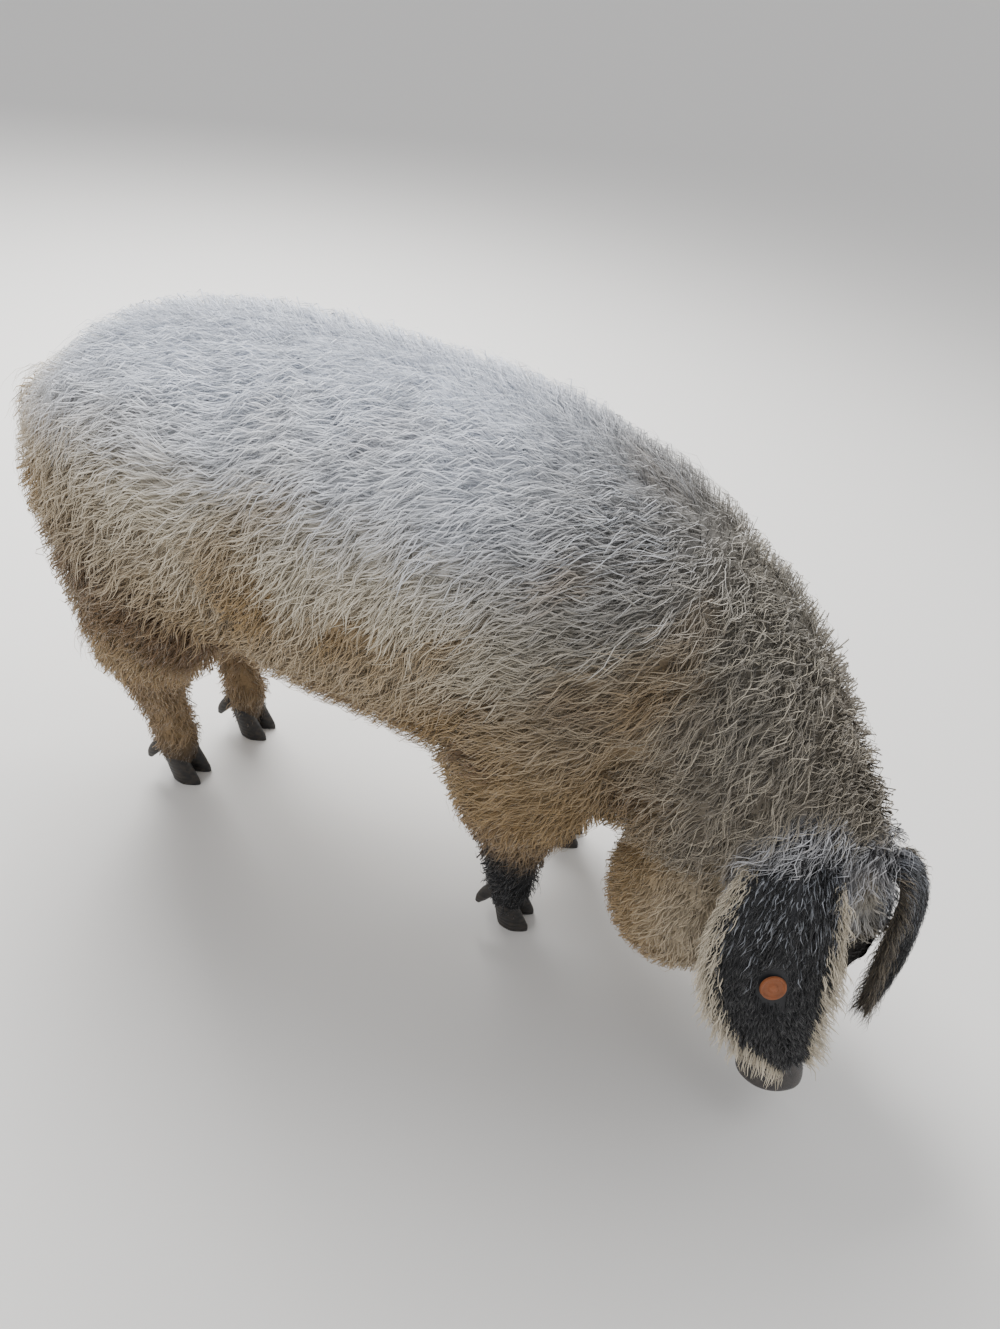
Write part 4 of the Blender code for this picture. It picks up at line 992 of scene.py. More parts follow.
def combed(ground, roots, normals, rng, steps):
    """Paths laid over the skin: each step follows the lie, swung from side to side as a wave.
    Neighbours swing almost together, so that the coat ripples."""
    weights = weights_at(roots)
    count = len(roots)
    length = coat_at(weights, LENGTH) * rng.uniform(0.85, 1.2, count)
    swing = coat_at(weights, SWING) * rng.uniform(0.6, 1.3, count)
    wave = coat_at(weights, WAVE)
    waves = length / wave
    place_in_wave = -(0.80 * roots[:, 0] + 0.45 * roots[:, 2]) / wave
    phase = 2 * np.pi * (place_in_wave + 0.8 * drift(roots, 0.12, 61)) + rng.normal(0, 0.8, count)
    place, normal = ground.touch(roots)
    places, uprights = [place], [normal]
    for step in range(steps):
        t = (step + 0.5) / steps
        way = lie_at(place, normal)
        way = turned(way, normal, swing * np.sin(2 * np.pi * waves * t + phase))
        place, normal = ground.touch(place + way * (length / steps)[:, None])
        places.append(place)
        uprights.append(normal)
    uprights = np.stack(uprights, axis=1)
    for _ in range(2):
        uprights[:, 1:-1] = (uprights[:, :-2] + uprights[:, 1:-1] + uprights[:, 2:]) / 3
    return np.stack(places, axis=1), unit(uprights), length


def clump_roots(centres, rng):
    """One face, picked by chance, out of each small cube of space that the skin crosses."""
    order = rng.permutation(len(centres))
    cube = np.floor(centres[order] / CLUMP_SPACING).astype(int) + 1000
    key = (cube[:, 0] * 4000 + cube[:, 1]) * 4000 + cube[:, 2]
    first = np.unique(key, return_index=True)[1]
    return order[first]


def nearest_clump(points, roots):
    """The clump whose root is nearest, looked for in the 27 cubes round each point."""
    cube = np.floor(roots / CLUMP_SPACING).astype(int)
    low = cube.min(axis=0) - 2
    table = np.full(cube.max(axis=0) - low + 3, -1)
    table[tuple((cube - low).T)] = np.arange(len(roots))
    home = np.floor(points / CLUMP_SPACING).astype(int) - low
    best, least = np.zeros(len(points), int), np.full(len(points), np.inf)
    for offset in itertools.product((-1, 0, 1), repeat=3):
        place = np.clip(home + offset, 0, np.array(table.shape) - 1)
        found = table[tuple(place.T)]
        away = np.where(found < 0, np.inf, np.linalg.norm(points - roots[found], axis=1))
        closer = away < least
        best[closer], least[closer] = found[closer], away[closer]
    return best


def grown(clumps, roots, pick, rng, share, steps):
    """Tufts that follow their clump's path, drawn in towards it, and curl on their own a little."""
    paths, uprights, lengths = clumps
    own, up = paths[pick], uprights[pick]
    weights = weights_at(roots)
    count, last = len(roots), own.shape[1] - 1
    stretch = share * rng.uniform(0.8, 1.15, count)
    t = np.linspace(0, 1, steps + 1)
    place = np.clip(t * stretch[:, None] * last, 0, last)
    low = np.minimum(np.floor(place).astype(int), last - 1)
    part = (place - low)[..., None]
    line = np.arange(count)[:, None]
    centre = own[line, low] * (1 - part) + own[line, low + 1] * part
    normal = unit(up[line, low] * (1 - part) + up[line, low + 1] * part)
    pull = (coat_at(weights, PULL) * share**2 * rng.uniform(0.5, 1.5, count))[:, None, None]
    path = centre + (roots - own[:, 0])[:, None] * (1 - pull * t[None, :, None] ** 1.3)
    rise = coat_at(weights, RISE) * rng.uniform(0.25, 1.0, count)
    loose = rng.uniform(size=count) < LOOSE_SHARE
    rise *= np.where(loose, 1.25, 1.0)
    arch = np.sin(np.pi / 2 * np.minimum(1, t / 0.75)) - 0.25 * t**3
    curl = coat_at(weights, SWING) * rng.uniform(0.0015, 0.0085, count) * np.where(loose, 2.2, 1.0)
    turns = lengths[pick] * share / coat_at(weights, WAVE) * rng.uniform(0.5, 1.1, count)
    phase = rng.uniform(0, 2 * np.pi, count)
    angle = 2 * np.pi * turns[:, None] * t + phase[:, None]
    across = np.cross(unit(np.gradient(path, axis=1)), normal)
    frizz = np.sin(coat_at(weights, STRAY) / share**0.5 * rng.normal(0, 1, count).clip(-2, 2))
    path = path + across[:, :1] * (frizz * lengths[pick] * stretch)[:, None, None] * t[None, :, None]
    fade = np.minimum(1, t * 3)
    path = path + normal * (rise[:, None] * arch)[..., None]
    path = path + across * (curl[:, None] * np.sin(angle) * fade)[..., None]
    path = path + normal * (0.6 * curl[:, None] * np.cos(angle) * fade)[..., None]
    return path, normal


def bare_at(points):
    """Where no tuft grows: on the snout's plate, the eyes, the line of the mouth and the claws."""
    down, _, depth = head_place(points)
    on_head = points[:, 0] > HEAD_X
    bare = (down > BARE_DOWN) & on_head
    bare |= (down > 0.15) & (np.abs(depth - mouth_depth(down)) < BARE_MOUTH) & on_head
    bare |= points[:, 2] < BARE_FOOT
    for side in SIDES:
        bare |= np.linalg.norm(points - eye_middle(side), axis=1) < BARE_EYE
    return bare


def body_coat(skin, material):
    """The coat of the whole body: long wavy tufts and shorter filling ones, in pieces by part. The
    filling ones are darker, and the long ones differ more from each other."""
    rng = np.random.default_rng(COAT_SEED)
    centres, normals, area = faces_of(skin.data)
    ground = Ground(centres, normals)
    picked = clump_roots(centres, rng)
    clumps = combed(ground, centres[picked], normals[picked], rng, PATH_STEPS)
    weights = weights_at(centres)
    bare = bare_at(centres)
    size = np.sqrt(area / (SKIN_CELL**2 / 2))
    layers = (("long", LONG_TUFTS, 1.0, LONG_PROFILE), ("fill", FILL_TUFTS, FILL_SHARE, FILL_PROFILE))
    for layer, column, share, profile in layers:
        chance = coat_at(weights, column) / 200 * size
        chosen = np.flatnonzero((rng.uniform(size=len(centres)) < chance) & ~bare)
        count = len(chosen)
        roots, upright = ground.touch(centres[chosen] + rng.uniform(-1, 1, (count, 3)) * SKIN_CELL * 0.35)
        roots = roots - upright * ROOT_DEPTH
        x, y = roots[:, 0], roots[:, 1]
        pick = nearest_clump(roots, centres[picked])
        paths, ups = grown(clumps, roots, pick, rng, share, len(profile))
        own = {name: weight[chosen] for name, weight in weights.items()}
        widths = coat_at(own, HALF_WIDTH) * rng.uniform(0.75, 1.3, count)
        marks, sky_lit_silver = marks_at(roots, upright)
        pale_among_dark = (rng.uniform(size=count) < 0.72) & (own["face"] < 0.5) & (x > 0.8)
        marks[:, 2] *= np.where(pale_among_dark, rng.uniform(0.05, 0.58, count), 1.0)
        if layer == "long":
            marks[:, 3] *= rng.uniform(0.35, 1.0, count)
        tones = rng.uniform(0, 1, count)
        tones = 0.35 + 0.65 * tones**2 if layer == "long" else 0.6 * tones
        fields = (paths, ups, widths, tones, marks, sky_lit_silver, unwrap(roots))
        head, leg = on_head_or_leg(own)
        covers = {"head": head, "legs": leg, "body": ~head & ~leg}
        for part, (start, end, side, cover) in PARTS.items():
            inside = covers[cover] & (x >= start) & (x < end) & ((side == 0) | ((y < 0) == (side < 0)))
            piece = tuft_mesh(f"coat_{part}_{layer}", profile, *(field[inside] for field in fields))
            dress(piece, material, "coat_tan" if cover == "legs" else "coat_cream")


def tail_tuft(material):
    """The brush at the end of the tail: tufts that leave it all round and hang."""
    rng = np.random.default_rng(COAT_SEED + 1)
    rows = flowing([(*row, row[3]) for row in TAIL], 8)
    count, last = TAIL_TUFTS, len(rows) - 1
    at = rng.beta(2.2, 1.0, count) * last
    low = np.minimum(at.astype(int), last - 1)
    part = (at - low)[:, None]
    middle = rows[low, :3] * (1 - part) + rows[low + 1, :3] * part
    forward = unit(rows[low + 1, :3] - rows[low, :3])
    side = unit(np.cross(forward, (0.0, 1.0, 0.0)))
    angle = rng.uniform(0, 2 * np.pi, count)
    out = side * np.cos(angle)[:, None] + np.cross(forward, side) * np.sin(angle)[:, None]
    share = at / last
    length = (0.030 + 0.062 * share**3) * rng.uniform(0.7, 1.15, count)
    t = np.linspace(0, 1, len(LONG_PROFILE) + 1)
    spread = (0.020 + 0.010 * share) * rng.uniform(0.4, 1.1, count)
    path = (middle + out * rows[low, 3, None] * 0.9)[:, None]
    path = path + out[:, None] * (spread[:, None] * np.sin(t * 1.8))[..., None]
    path = path + (forward * 0.5 + (0.0, 0.0, -0.7))[:, None] * (length[:, None] * t)[..., None]
    wave = 0.004 * np.sin(3 * np.pi * t[None] + rng.uniform(0, 6.28, count)[:, None])
    path = path + np.cross(forward, out)[:, None] * (wave * t)[..., None]
    normal = np.repeat(out[:, None], len(t), axis=1)
    marks = np.tile((0.75, 0.0, 0.0, 0.0), (count, 1))
    charts = 0.02 + 0.96 * np.stack([share, angle / (2 * np.pi)], -1)
    widths = 0.0019 * rng.uniform(0.7, 1.3, count)
    tones = rng.uniform(0, 1, count)
    piece = tuft_mesh("coat_tail", LONG_PROFILE, path, normal, widths, tones, marks, 0 * share, charts)
    dress(piece, material, "coat_tan")


# Ears.


def ear_frame(side):
    """Along the ear: middles, directions across, outwards and along, and half widths."""
    down, left, depth, half = flowing(EARS[side], 8).T
    middles = head_point(down, side * left, depth)
    along = unit(np.gradient(middles, axis=0))
    across = direction(*(LEFT * side - BROW * EAR_SLANT[side]))
    wide = unit(across - along * (along @ across)[:, None])
    out = np.cross(along, wide) * side
    out = np.where((out @ BROW)[:, None] < 0, -out, out)
    return middles, wide, out, along, half


def ear_surface(side, along, across, height):
    """Points of the ear: along and across from 0 to 1 and from -1 to 1, and a height off its
    middle sheet. The sheet is cupped as cup * (0.6 - across^2)."""
    middles, wide, out, forward, half = ear_frame(side)
    place = np.clip(along, 0, 1) * (len(middles) - 1)
    low = np.minimum(place.astype(int), len(middles) - 2)
    part = (place - low)[..., None]

    def between(values):
        return values[low] * (1 - part) + values[low + 1] * part

    width = between(half[:, None])[..., 0]
    cup = EAR_CUP[side] * np.minimum(1, width / 0.07)
    rise = cup * (0.6 - across**2)
    normal = unit(between(out) + between(wide) * (1.6 * cup * across / np.maximum(width, 0.01))[..., None])
    place = between(middles) + between(wide) * (width * across)[..., None]
    place = place + between(out) * rise[..., None] + normal * height[..., None]
    return place, normal, between(forward), between(wide)


def ear_grid(side):
    """The blade: rings that run across its outer face and back across its inner one."""
    t = np.linspace(0, 1, 41)[:, None]
    top = np.linspace(-1, 1, 21)[None]
    edge = 1 - 0.62 * np.abs(top) ** 4
    thick = EAR_THICKNESS * (1.5 - 0.9 * t) / 2 * edge
    ripple = 0.0016 * np.sin(9 * top + 5 * t) * (1 - top**4) * np.sin(np.pi * t)
    outer = ear_surface(side, t + 0 * top, top + 0 * t, thick + ripple)[0]
    inner = ear_surface(side, t + 0 * top, top + 0 * t, -thick + ripple)[0][:, ::-1]
    return np.concatenate([outer, inner[:, 1:-1]], axis=1)


def ear_blade(side, name, material):
    dress(grid_object(f"ear_blade_{name}", ear_grid(side)), material, "ear_dark", f"ear_{name}")


def edge_hair(rng, count):
    """Places of an ear's fringe: along and across, which edge, length, and rise off the ear."""
    along = 0.14 + 0.86 * rng.uniform(0, 1, count) ** 0.8
    edge = rng.choice((-1.0, 1.0), count)
    across = edge * (1 - 0.26 * rng.uniform(0, 1, count) ** 2.0)
    length = (0.018 + 0.011 * along) * rng.uniform(0.45, 1.3, count)
    return along, across, edge, length, rng.uniform(-0.5, 0.7, count)


def face_hair(rng, count):
    """Places of the short hair all over one face of an ear, in the same order."""
    along = rng.uniform(0.06, 0.98, count)
    across = rng.uniform(-0.97, 0.97, count)
    length = 0.019 * rng.uniform(0.6, 1.4, count)
    return along, across, np.sign(across), length, rng.uniform(0.06, 0.30, count)


def clear_of_tag(hair):
    """Shortens the hair that would fall over the ear tag, and leaves out what lies under it."""
    along, across, edge, length, rise = hair
    above, beside = (TAG_ALONG - along) * EAR_LENGTH, (across - TAG_ACROSS) * EAR_HALF_WIDTH
    room = above - np.sqrt(np.maximum(0, TAG_RADIUS**2 - beside**2))
    length = np.where((above > 0) & (np.abs(beside) < TAG_SIDE), np.minimum(length, room), length)
    keep = (np.hypot(above, beside) > TAG_ROOM) & (length > SHORTEST_HAIR)
    return [values[keep] for values in (along, across, edge, length, rise)]


def ear_hair(side, name, material):
    """Hair of one ear: short and dark over its faces, longer along its edges and tip, where it is pale on
    the right ear and dark on the left one as painted shade.
    """
    rng = np.random.default_rng(COAT_SEED + 5 + side)
    for kind, (count, layer, outward, width, profile) in EAR_HAIR.items():
        fringe = kind == "fringe"
        hair = edge_hair(rng, count) if fringe else face_hair(rng, count)
        if side < 0 and not fringe:
            hair = clear_of_tag(hair)
        along, across, edge, length, rise = hair
        count = len(along)
        height = layer * EAR_THICKNESS * 0.42 * (1 - 0.5 * np.abs(across) ** 4) * (1.5 - 0.9 * along)
        root, normal, forward, wide = ear_surface(side, along, across, height)
        normal = normal * (layer or 1)
        way = unit(forward + wide * (edge * outward * rng.uniform(-0.2, 1.7, count))[:, None])
        bend = unit(forward * 1.2 + (0.0, 0.0, -0.5) + wide * (edge * 0.25)[:, None])
        t = np.linspace(0, 1, len(profile) + 1)[None, :, None]
        heading = way[:, None] * (t - t**2 / 2) + bend[:, None] * (t**2 / 2)
        path = root[:, None] + heading * length[:, None, None] * 1.15
        path = path + normal[:, None] * (rise * length)[:, None, None] * np.sin(t * 2.2)
        swing = rng.uniform(0.0008, 0.0060, count)[:, None, None]
        swing = swing * np.sin(7 * t + rng.uniform(0, 6, count)[:, None, None])
        path = path + np.cross(forward, normal)[:, None] * swing * t
        normals = np.repeat(normal[:, None], len(profile) + 1, axis=1)
        marks = np.zeros((count, 4))
        if fringe:
            # The left ear's fringe is made dark as painted shade.
            marks[:, 0] = 0.15 if side < 0 else 0.5
            marks[:, 2] = rng.uniform(*FRINGE_DARKNESS_AND_SHADE[side], count)
        else:
            pale = rng.uniform(size=count) < 0.62 - 0.90 * along
            marks[:, 2] = np.where(pale, rng.uniform(0.62, 0.92, count), 1.0)
        sky_lit_silver = np.full(count, 0.0 if fringe else 1.0)
        charts = np.stack([0.02 + 0.96 * along, 0.5 + 0.46 * across], -1)
        widths = width * rng.uniform(0.7, 1.3, count)
        tones = rng.uniform(0, 1, count)
        piece = tuft_mesh(f"ear_{kind}_{name}", profile, path, normals, widths, tones, marks, sky_lit_silver, charts)
        dress(piece, material, "ear_dark")


# Snout, eyes, claws and tag.


def snout_plate(material):
    """The plate at the end of the muzzle: rounded rings, then a face whose two nostrils sink in as
    depth * exp(-(distance / size)^4), with a shallow groove down its middle."""
    rows = [(*head_point(d, 0.0, SNOUT_DEPTH), w, h) for d, w, h in SNOUT]
    rim = sweep(rows, LEFT, 2.3, 64, 3)
    middle = head_point(SNOUT[-1][0], 0.0, SNOUT_DEPTH)
    shares = np.linspace(1, 0, 22)[1:-1]
    face = middle + (rim[-1][None] - middle) * shares[:, None, None]
    left, deep = (face - middle) @ LEFT, -((face - middle) @ BROW)
    offset, drop, wide, high = NOSTRIL
    away = np.sqrt(((np.abs(left) - offset) / wide) ** 2 + ((deep - drop) / high) ** 2)
    sink = 0.011 * np.exp(-(away**4)) - 0.0012 * np.exp(-(((away - 1.25) / 0.3) ** 2))
    dome = 0.0035 * (1 - shares[:, None] ** 2)
    groove = 0.0012 * np.exp(-((left / 0.0022) ** 2)) * (1 - np.exp(-((deep / 0.01) ** 2)))
    face = face + FACE * (dome - sink - groove)[..., None]
    dress(grid_object("snout_plate", np.vstack([rim, face])), material, "snout_dark", "snout")


def eyeball(side, name, material):
    """A ball with a clear bulge in front: rings about its own axis, which looks out and a little
    forward. The number view is the angle from that axis, for iris and pupil."""
    axis = direction(*(LEFT * side + BROW * 0.22 + FACE * 0.12))
    polar = np.linspace(0.01, np.pi - 0.01, 40)
    reach = EYE_RADIUS - 0.0013 + 0.0011 * np.exp(-((polar / 0.42) ** 4))
    around = 48
    forward = (axis * (np.cos(polar) * reach)[:, None])[:, None]
    sideways = circle(axis, FACE, around)[None] * (np.sin(polar) * reach)[:, None, None]
    obj = grid_object(f"eyeball_{name}", eye_middle(side) + forward + sideways)
    number_per_point(obj, "view", np.append(np.repeat(polar, around), (0.0, np.pi)))
    dress(obj, material, "eye", f"eye_{name}")


def lids(side, name, material):
    points, triangles = joined([shell(grid) for grid in lid_grids(side)])
    finish_skin(mesh_object(f"lids_{name}", points, triangles), material)


def claws(material):
    for foot, (*_, outer) in FEET.items():
        for which, side in (("outer", outer), ("inner", -outer)):
            toe = toe_grid(foot, side, TOE)
            toe[..., 2] = np.maximum(toe[..., 2], 0)
            spur = dewclaw_grid(foot, side)
            for kind, node, grid in (("toe", "claw", toe), ("spur", "dewclaw", spur)):
                obj = grid_object(f"{kind}_{foot}_{which}", grid)
                dress(obj, material, "horn", f"{node}_{foot}_{which}")


def turned_disc(name, rows, material, node):
    """A profile of height and radius turned about the tag's axis."""
    surface = ear_surface(-1, np.array([TAG_ALONG]), np.array([TAG_ACROSS]), np.zeros(1))
    root, wide = surface[0][0], surface[3][0]
    axes = ear_frame(-1)[2]
    out = axes[round(TAG_ALONG * (len(axes) - 1))]
    height, radius = flowing(rows, 3).T
    grid = root + (out * height[:, None])[:, None] + circle(out, wide, 64)[None] * radius[:, None, None]
    dress(grid_object(name, grid), material, "tag_orange", node)


def ear_tag(material):
    face, r, t = 0.0050, TAG_RADIUS, TAG_THICKNESS
    button = (
        (-0.0060, 0.0028),
        (face - 0.0002, 0.0028),
        (face, r * 0.96),
        (face + t * 0.2, r * 0.995),
        (face + t * 0.6, r),
        (face + t, r * 0.96),
        (face + t, r * 0.86),
        (face + t * 0.62, r * 0.80),
        (face + t * 0.42, r * 0.73),
        (face + t * 0.40, r * 0.40),
        (face + t * 0.85, r * 0.30),
        (face + t * 0.95, r * 0.10),
    )
    back = (
        (-face - 0.0005, 0.0122),
        (-face - 0.0020, 0.0126),
        (-face - 0.0045, 0.0110),
        (-face - 0.0050, 0.0050),
        (-face - 0.0075, 0.0035),
    )
    turned_disc("tag_button", button, material, "ear_tag_button")
    turned_disc("tag_stud", back[::-1], material, "ear_tag_back")


# Materials.


def linear(code):
    """An sRGB hex colour as linear red, green, blue and alpha."""
    parts = [int(code[i : i + 2], 16) / 255 for i in (1, 3, 5)]
    return (*[p / 12.92 if p <= 0.04045 else ((p + 0.055) / 1.055) ** 2.4 for p in parts], 1.0)


def add(tree, kind, inputs=None, **settings):
    """Adds a node with its settings. An input is a number, a colour's code, or the socket that
    feeds it, where a node stands for its first output."""
    node = tree.nodes.new(kind)
    for name, value in settings.items():
        setattr(node, name, value)
    for key, value in (inputs or {}).items():
        if isinstance(value, bpy.types.Node):
            value = value.outputs[0]
        if isinstance(value, bpy.types.NodeSocket):
            tree.links.new(value, node.inputs[key])
        else:
            node.inputs[key].default_value = linear(value) if isinstance(value, str) else value
    return node


def new_material(name):
    """An empty material, its tree, and the place of each point on the object."""
    material = bpy.data.materials.new(name)
    material.use_nodes = True
    tree = material.node_tree
    tree.nodes.clear()
    return material, tree, add(tree, "ShaderNodeTexCoord").outputs["Object"]


def surfaced(material, inputs):
    """Gives a material its shader, which takes these inputs."""
    shader = add(material.node_tree, "ShaderNodeBsdfPrincipled", inputs)
    add(material.node_tree, "ShaderNodeOutputMaterial", {"Surface": shader})
    return material


def patched(tree, value, low, high, most, first, second):
    """The first colour with patches of the second one: from none of it where the value is low to
    this share where it is high."""
    share = add(tree, "ShaderNodeMapRange", {0: value, 1: low, 2: high, 3: 0.0, 4: most})
    return add(tree, "ShaderNodeMix", {0: share, 6: first, 7: second}, data_type="RGBA").outputs[2]


def toned(tree, colour, *spans):
    """A colour made dimmer or brighter by values. Each span is a value, its low and high end, and
    the brightness there."""
    for value, low, high, dim, bright in spans:
        light = add(tree, "ShaderNodeMapRange", {0: value, 1: low, 2: high, 3: dim, 4: bright})
        colour = add(tree, "ShaderNodeVectorMath", {0: colour, "Scale": light}, operation="SCALE")
    return colour


def marked_colour(tree):
    """The coat's colour from its markings: cream, a pale bluish tone on the back that is partly painted
    sky light, grey beige on the neck that is partly painted shade, tan below, rust, and slate."""
    marks = add(tree, "ShaderNodeAttribute", attribute_name="marks")
    parts = add(tree, "ShaderNodeSeparateColor", {0: marks.outputs["Color"]})
    sky_lit_silver = add(tree, "ShaderNodeAttribute", attribute_name="sky_lit_silver")
    colour = CREAM
    for share, second in (
        (sky_lit_silver.outputs["Fac"], SKY_LIT_SILVER),
        (marks.outputs["Alpha"], SHADED_BEIGE_GREY),
        (parts.outputs[0], TAN),
        (parts.outputs[1], RUST),
        (parts.outputs[2], SLATE),
    ):
        mix = add(tree, "ShaderNodeMix", {0: share, 6: colour, 7: second}, data_type="RGBA")
        colour = mix.outputs[2]
    return colour


def wool():
    """Wavy pig's hair with dense underwool, unwashed: matt, with a soft sheen along the strands.
    Fine streaks run along each tuft, as single hairs of about 0.1 mm are too fine to show."""
    material, tree, _ = new_material("wavy_wool")
    strand = add(tree, "ShaderNodeUVMap", uv_map="Strand")
    stretch = add(tree, "ShaderNodeMapping", {0: strand, 3: (7.0, 0.9, 1.0)})
    streaks = add(tree, "ShaderNodeTexNoise", {"Vector": stretch, "Scale": 1.0, "Detail": 3.0})
    tone = add(tree, "ShaderNodeAttribute", attribute_name="tone").outputs["Fac"]
    along = add(tree, "ShaderNodeAttribute", attribute_name="along").outputs["Fac"]
    # A tuft is darker towards its root as painted shade among the hairs; its tone also varies at random.
    spans = ((tone, 0.0, 1.0, 0.80, 1.24), (along, 0.0, 0.7, 0.88, 1.04), (streaks, 0.3, 0.7, 0.92, 1.08))
    return surfaced(material, {
        "Base Color": toned(tree, marked_colour(tree), *spans),
        "Normal": add(tree, "ShaderNodeBump", {"Height": streaks, "Strength": 0.5, "Distance": 0.0008}),
        "Roughness": 0.62,
        "IOR": 1.45,
        "Specular IOR Level": 0.35,
        "Sheen Weight": 0.25,
        "Sheen Roughness": 0.4,
    })


def haired_skin():
    """Pig's skin under its underwool: matt, matted with short hair. The hair's run is drawn as
    noise of 2 to 5 mm, and the folds of the bare muzzle carry pale hair on their crests."""
    material, tree, place = new_material("haired_skin")
    combed_way = add(tree, "ShaderNodeMapping", {0: place, 2: (0.0, -0.66, 0.0), 3: (60.0, 420.0, 420.0)})
    fine = add(tree, "ShaderNodeTexNoise", {"Vector": combed_way, "Scale": 1.0, "Detail": 3.0})
    coarse = add(tree, "ShaderNodeTexNoise", {"Vector": place, "Scale": 38.0, "Detail": 3.0})
    crest = add(tree, "ShaderNodeAttribute", attribute_name="crest").outputs["Fac"]
    colour = patched(tree, crest, 0.0, 1.0, 1.0, marked_colour(tree), SNOUT_PALE)
    spans = ((fine, 0.3, 0.7, 0.64, 1.0), (coarse, 0.3, 0.7, 0.82, 1.08))
    return surfaced(material, {
        "Base Color": toned(tree, colour, *spans),
        "Normal": add(tree, "ShaderNodeBump", {"Height": fine, "Strength": 0.6, "Distance": 0.0015}),
        "Roughness": 0.7,
        "Specular IOR Level": 0.3,
    })


def ear_skin():
    """Thin dark skin of the ear, dry and lightly creased: a low gloss, with faint veins."""
    material, tree, place = new_material("ear_leather")
    veins = add(tree, "ShaderNodeTexVoronoi", {"Vector": place, "Scale": 46.0}, feature="DISTANCE_TO_EDGE")
    grain = add(tree, "ShaderNodeTexNoise", {"Vector": place, "Scale": 320.0, "Detail": 4.0})
    broad = add(tree, "ShaderNodeTexNoise", {"Vector": place, "Scale": 24.0, "Detail": 3.0})
    height = add(tree, "ShaderNodeMath", {0: veins, 1: grain}, operation="ADD")
    return surfaced(material, {
        "Base Color": patched(tree, broad, 0.35, 0.70, 0.55, SLATE, EAR_SHEEN),
        "Normal": add(tree, "ShaderNodeBump", {"Height": height, "Strength": 0.35, "Distance": 0.0010}),
        "Roughness": 0.58,
    })


def moist_snout():
    """The bare plate of the snout: leathery, moist, with fine wrinkles about 1.5 mm apart, which
    gives it small bright lights."""
    material, tree, place = new_material("moist_snout_leather")
    cells = add(tree, "ShaderNodeTexVoronoi", {"Vector": place, "Scale": 520.0}, feature="DISTANCE_TO_EDGE")
    broad = add(tree, "ShaderNodeTexNoise", {"Vector": place, "Scale": 70.0, "Detail": 4.0})
    return surfaced(material, {
        "Base Color": patched(tree, broad, 0.4, 0.75, 0.8, SNOUT_SKIN, SNOUT_PALE),
        "Normal": add(tree, "ShaderNodeBump", {"Height": cells, "Strength": 0.5, "Distance": 0.0012}),
        "Roughness": add(tree, "ShaderNodeMapRange", {0: broad, 1: 0.3, 2: 0.7, 3: 0.28, 4: 0.5}),
    })


def claw_horn():
    """Horn of the claws: dark, worn and dusty, with growth rings about 4 mm apart along it."""
    material, tree, place = new_material("worn_horn")
    waves = {"Vector": place, "Scale": 40.0, "Distortion": 2.0, "Detail": 2.0, "Detail Scale": 3.0}
    rings = add(tree, "ShaderNodeTexWave", waves, wave_type="BANDS", bands_direction="Z")
    dust = add(tree, "ShaderNodeTexNoise", {"Vector": place, "Scale": 110.0, "Detail": 5.0})
    height = add(tree, "ShaderNodeMath", {0: rings.outputs[1], 1: dust}, operation="ADD")
    return surfaced(material, {
        "Base Color": patched(tree, dust, 0.42, 0.72, 0.65, HORN_DARK, HORN_PALE),
        "Normal": add(tree, "ShaderNodeBump", {"Height": height, "Strength": 0.35, "Distance": 0.0012}),
        "Roughness": add(tree, "ShaderNodeMapRange", {0: dust, 1: 0.3, 2: 0.7, 3: 0.42, 4: 0.72}),
    })


def wet_eye():
    """A wet eyeball: brown iris round a dark pupil, under a clear film that gives a sharp light."""
    material, tree, place = new_material("wet_eye")
    view = add(tree, "ShaderNodeAttribute", attribute_name="view").outputs["Fac"]
    fleck = add(tree, "ShaderNodeTexNoise", {"Vector": place, "Scale": 900.0, "Detail": 3.0})
    iris = patched(tree, fleck, 0.3, 0.7, 0.6, IRIS, PUPIL)
    middle = patched(tree, view, 0.30, 0.36, 1.0, PUPIL, iris)
    return surfaced(material, {
        "Base Color": patched(tree, view, 0.78, 0.90, 1.0, middle, EYE_WHITE),
        "Roughness": 0.08,
        "Coat Weight": 1.0,
        "Coat Roughness": 0.03,
    })


def tag_plastic():
    """Moulded polyurethane of the ear tag, weathered: satin, with scuffs and patches of dirt."""
    material, tree, place = new_material("moulded_polyurethane")
    scuff = add(tree, "ShaderNodeTexNoise", {"Vector": place, "Scale": 420.0, "Detail": 5.0})
    dirt = add(tree, "ShaderNodeTexNoise", {"Vector": place, "Scale": 90.0, "Detail": 3.0})
    return surfaced(material, {
        "Base Color": patched(tree, dirt, 0.45, 0.75, 0.7, TAG_ORANGE, TAG_DIRT),
        "Normal": add(tree, "ShaderNodeBump", {"Height": scuff, "Strength": 0.15, "Distance": 0.0004}),
        "Roughness": add(tree, "ShaderNodeMapRange", {0: scuff, 1: 0.3, 2: 0.7, 3: 0.35, 4: 0.6}),
    })


# Floor, light and camera.


def placed(place, right, up):
    """The matrix of a lamp or camera, from its place and its own right and up directions."""
    turn = np.stack([right, up, np.cross(right, up)], -1)
    return Matrix.Translation(place) @ Matrix(turn.tolist()).to_4x4()


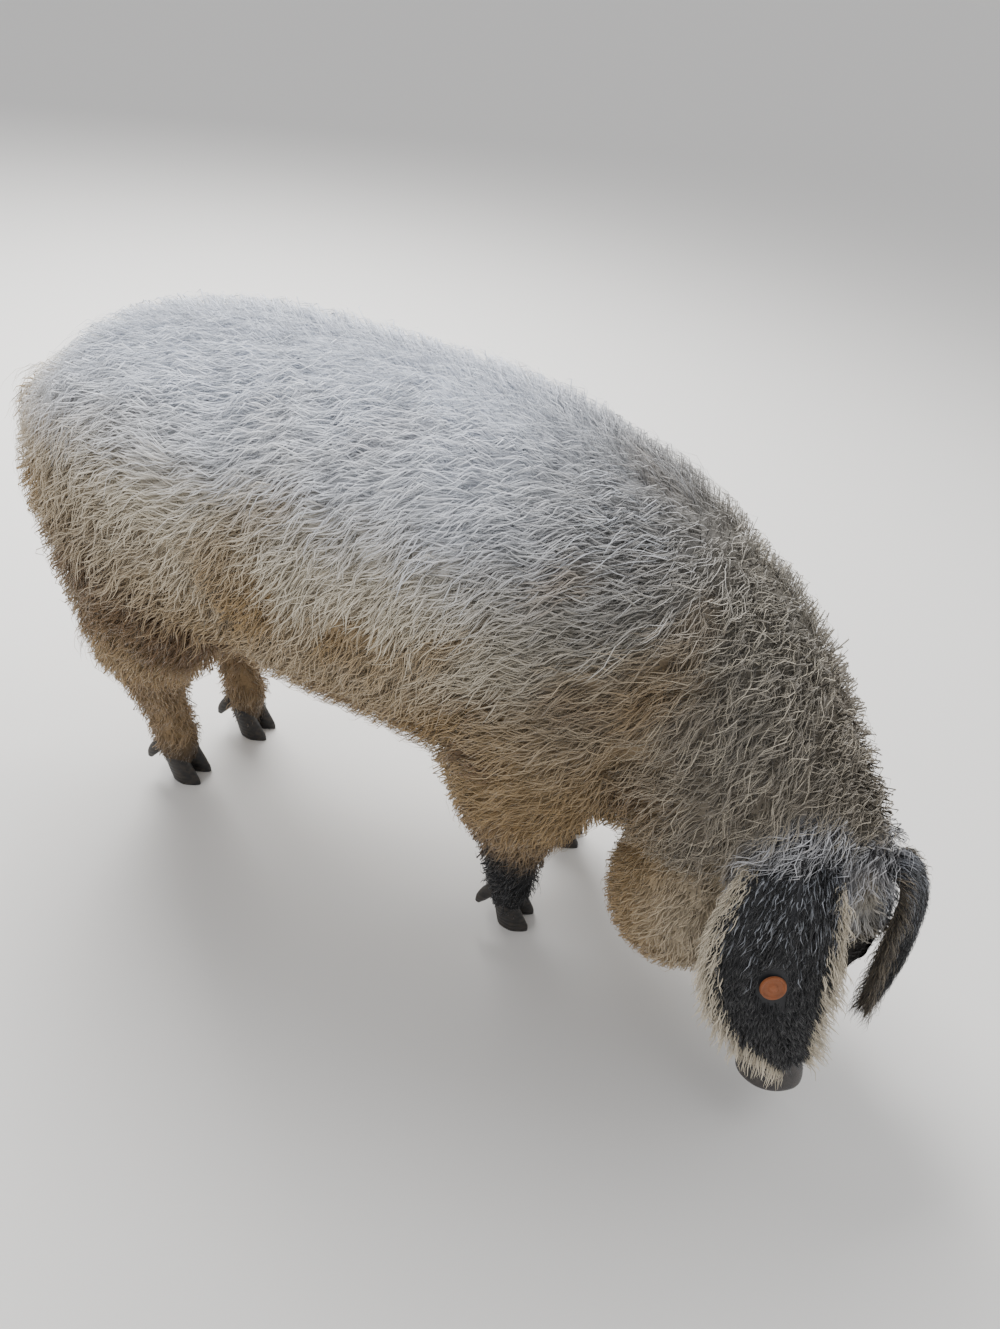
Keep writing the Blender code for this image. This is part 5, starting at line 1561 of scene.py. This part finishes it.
def stage_set():
    """A wide pale floor, a large soft light above, two weaker ones, and a sky that is as pale as
    the floor where they meet."""
    corners = np.array([(-1, -1, 0), (1, -1, 0), (1, 1, 0), (-1, 1, 0)]) * FLOOR_REACH - (0, 0, FLOOR_DROP)
    floor = mesh_object("floor", corners, np.array([(0, 1, 2), (0, 2, 3)]))
    material = new_material("pale_floor")[0]
    floor.data.materials.append(surfaced(material, {"Base Color": FLOOR, "Roughness": 0.9}))
    for name, (place, size, watts) in LIGHTS.items():
        light = bpy.data.lights.new(name, "AREA")
        light.size = size
        light.energy = watts
        lamp = bpy.data.objects.new(name, light)
        bpy.context.scene.collection.objects.link(lamp)
        back = direction(*(np.array(place) - LIT_PLACE))
        right = direction(*np.cross((0, 0, 1.0), back))
        lamp.matrix_world = placed(place, right, np.cross(back, right))
    world = bpy.data.worlds.new("studio")
    world.use_nodes = True
    tree = world.node_tree
    place = add(tree, "ShaderNodeTexCoord")
    height = add(tree, "ShaderNodeSeparateXYZ", {0: place.outputs["Generated"]}).outputs[2]
    sky = tree.nodes["Background"]
    tree.links.new(patched(tree, height, 0.0, 0.5, 1.0, HORIZON, ZENITH), sky.inputs["Color"])
    sky.inputs["Strength"].default_value = 0.85
    bpy.context.scene.world = world


def camera_set():
    right, up = direction(*CAMERA_RIGHT), np.array(CAMERA_UP)
    up = direction(*(up - right * (up @ right)))
    data = bpy.data.cameras.new("camera")
    data.lens = CAMERA_LENS
    data.sensor_width = 36.0
    data.clip_end = 100.0
    camera = bpy.data.objects.new("camera", data)
    bpy.context.scene.collection.objects.link(camera)
    camera.matrix_world = placed(np.array(CAMERA_PLACE) + SHIFT, right, up)
    bpy.context.scene.camera = camera


def finish_skin(obj, material, *nodes):
    """Marks a skin piece, moves it to the frame and dresses it."""
    mesh = obj.data
    points, normals = points_of(mesh), normals_of(mesh)
    down, _, depth = head_place(points)
    muzzle = ramp(0.16, 0.20, down) * (1 - ramp(0.13, 0.155, depth)) * (points[:, 0] > HEAD_X)
    crest = np.clip(face_relief(points) / 0.0015, 0, 1) * muzzle
    set_marks(obj, *marks_at(points, normals))
    number_per_point(obj, "crest", crest)
    set_points(mesh, points + SHIFT)
    mesh.polygons.foreach_set("use_smooth", np.ones(len(mesh.polygons), bool))
    dress(obj, material, "coat_cream", *nodes)


def main():
    hair, under = wool(), haired_skin()
    skin = fused_skin()
    body_coat(skin, hair)
    tail_tuft(hair)
    for side, name in SIDES.items():
        lids(side, name, under)
    finish_skin(skin, under, *SKIN_NODES)
    blade, eye = ear_skin(), wet_eye()
    for side, name in SIDES.items():
        ear_blade(side, name, blade)
        ear_hair(side, name, hair)
    snout_plate(moist_snout())
    for side, name in SIDES.items():
        eyeball(side, name, eye)
    claws(claw_horn())
    ear_tag(tag_plastic())
    stage_set()
    camera_set()


main()
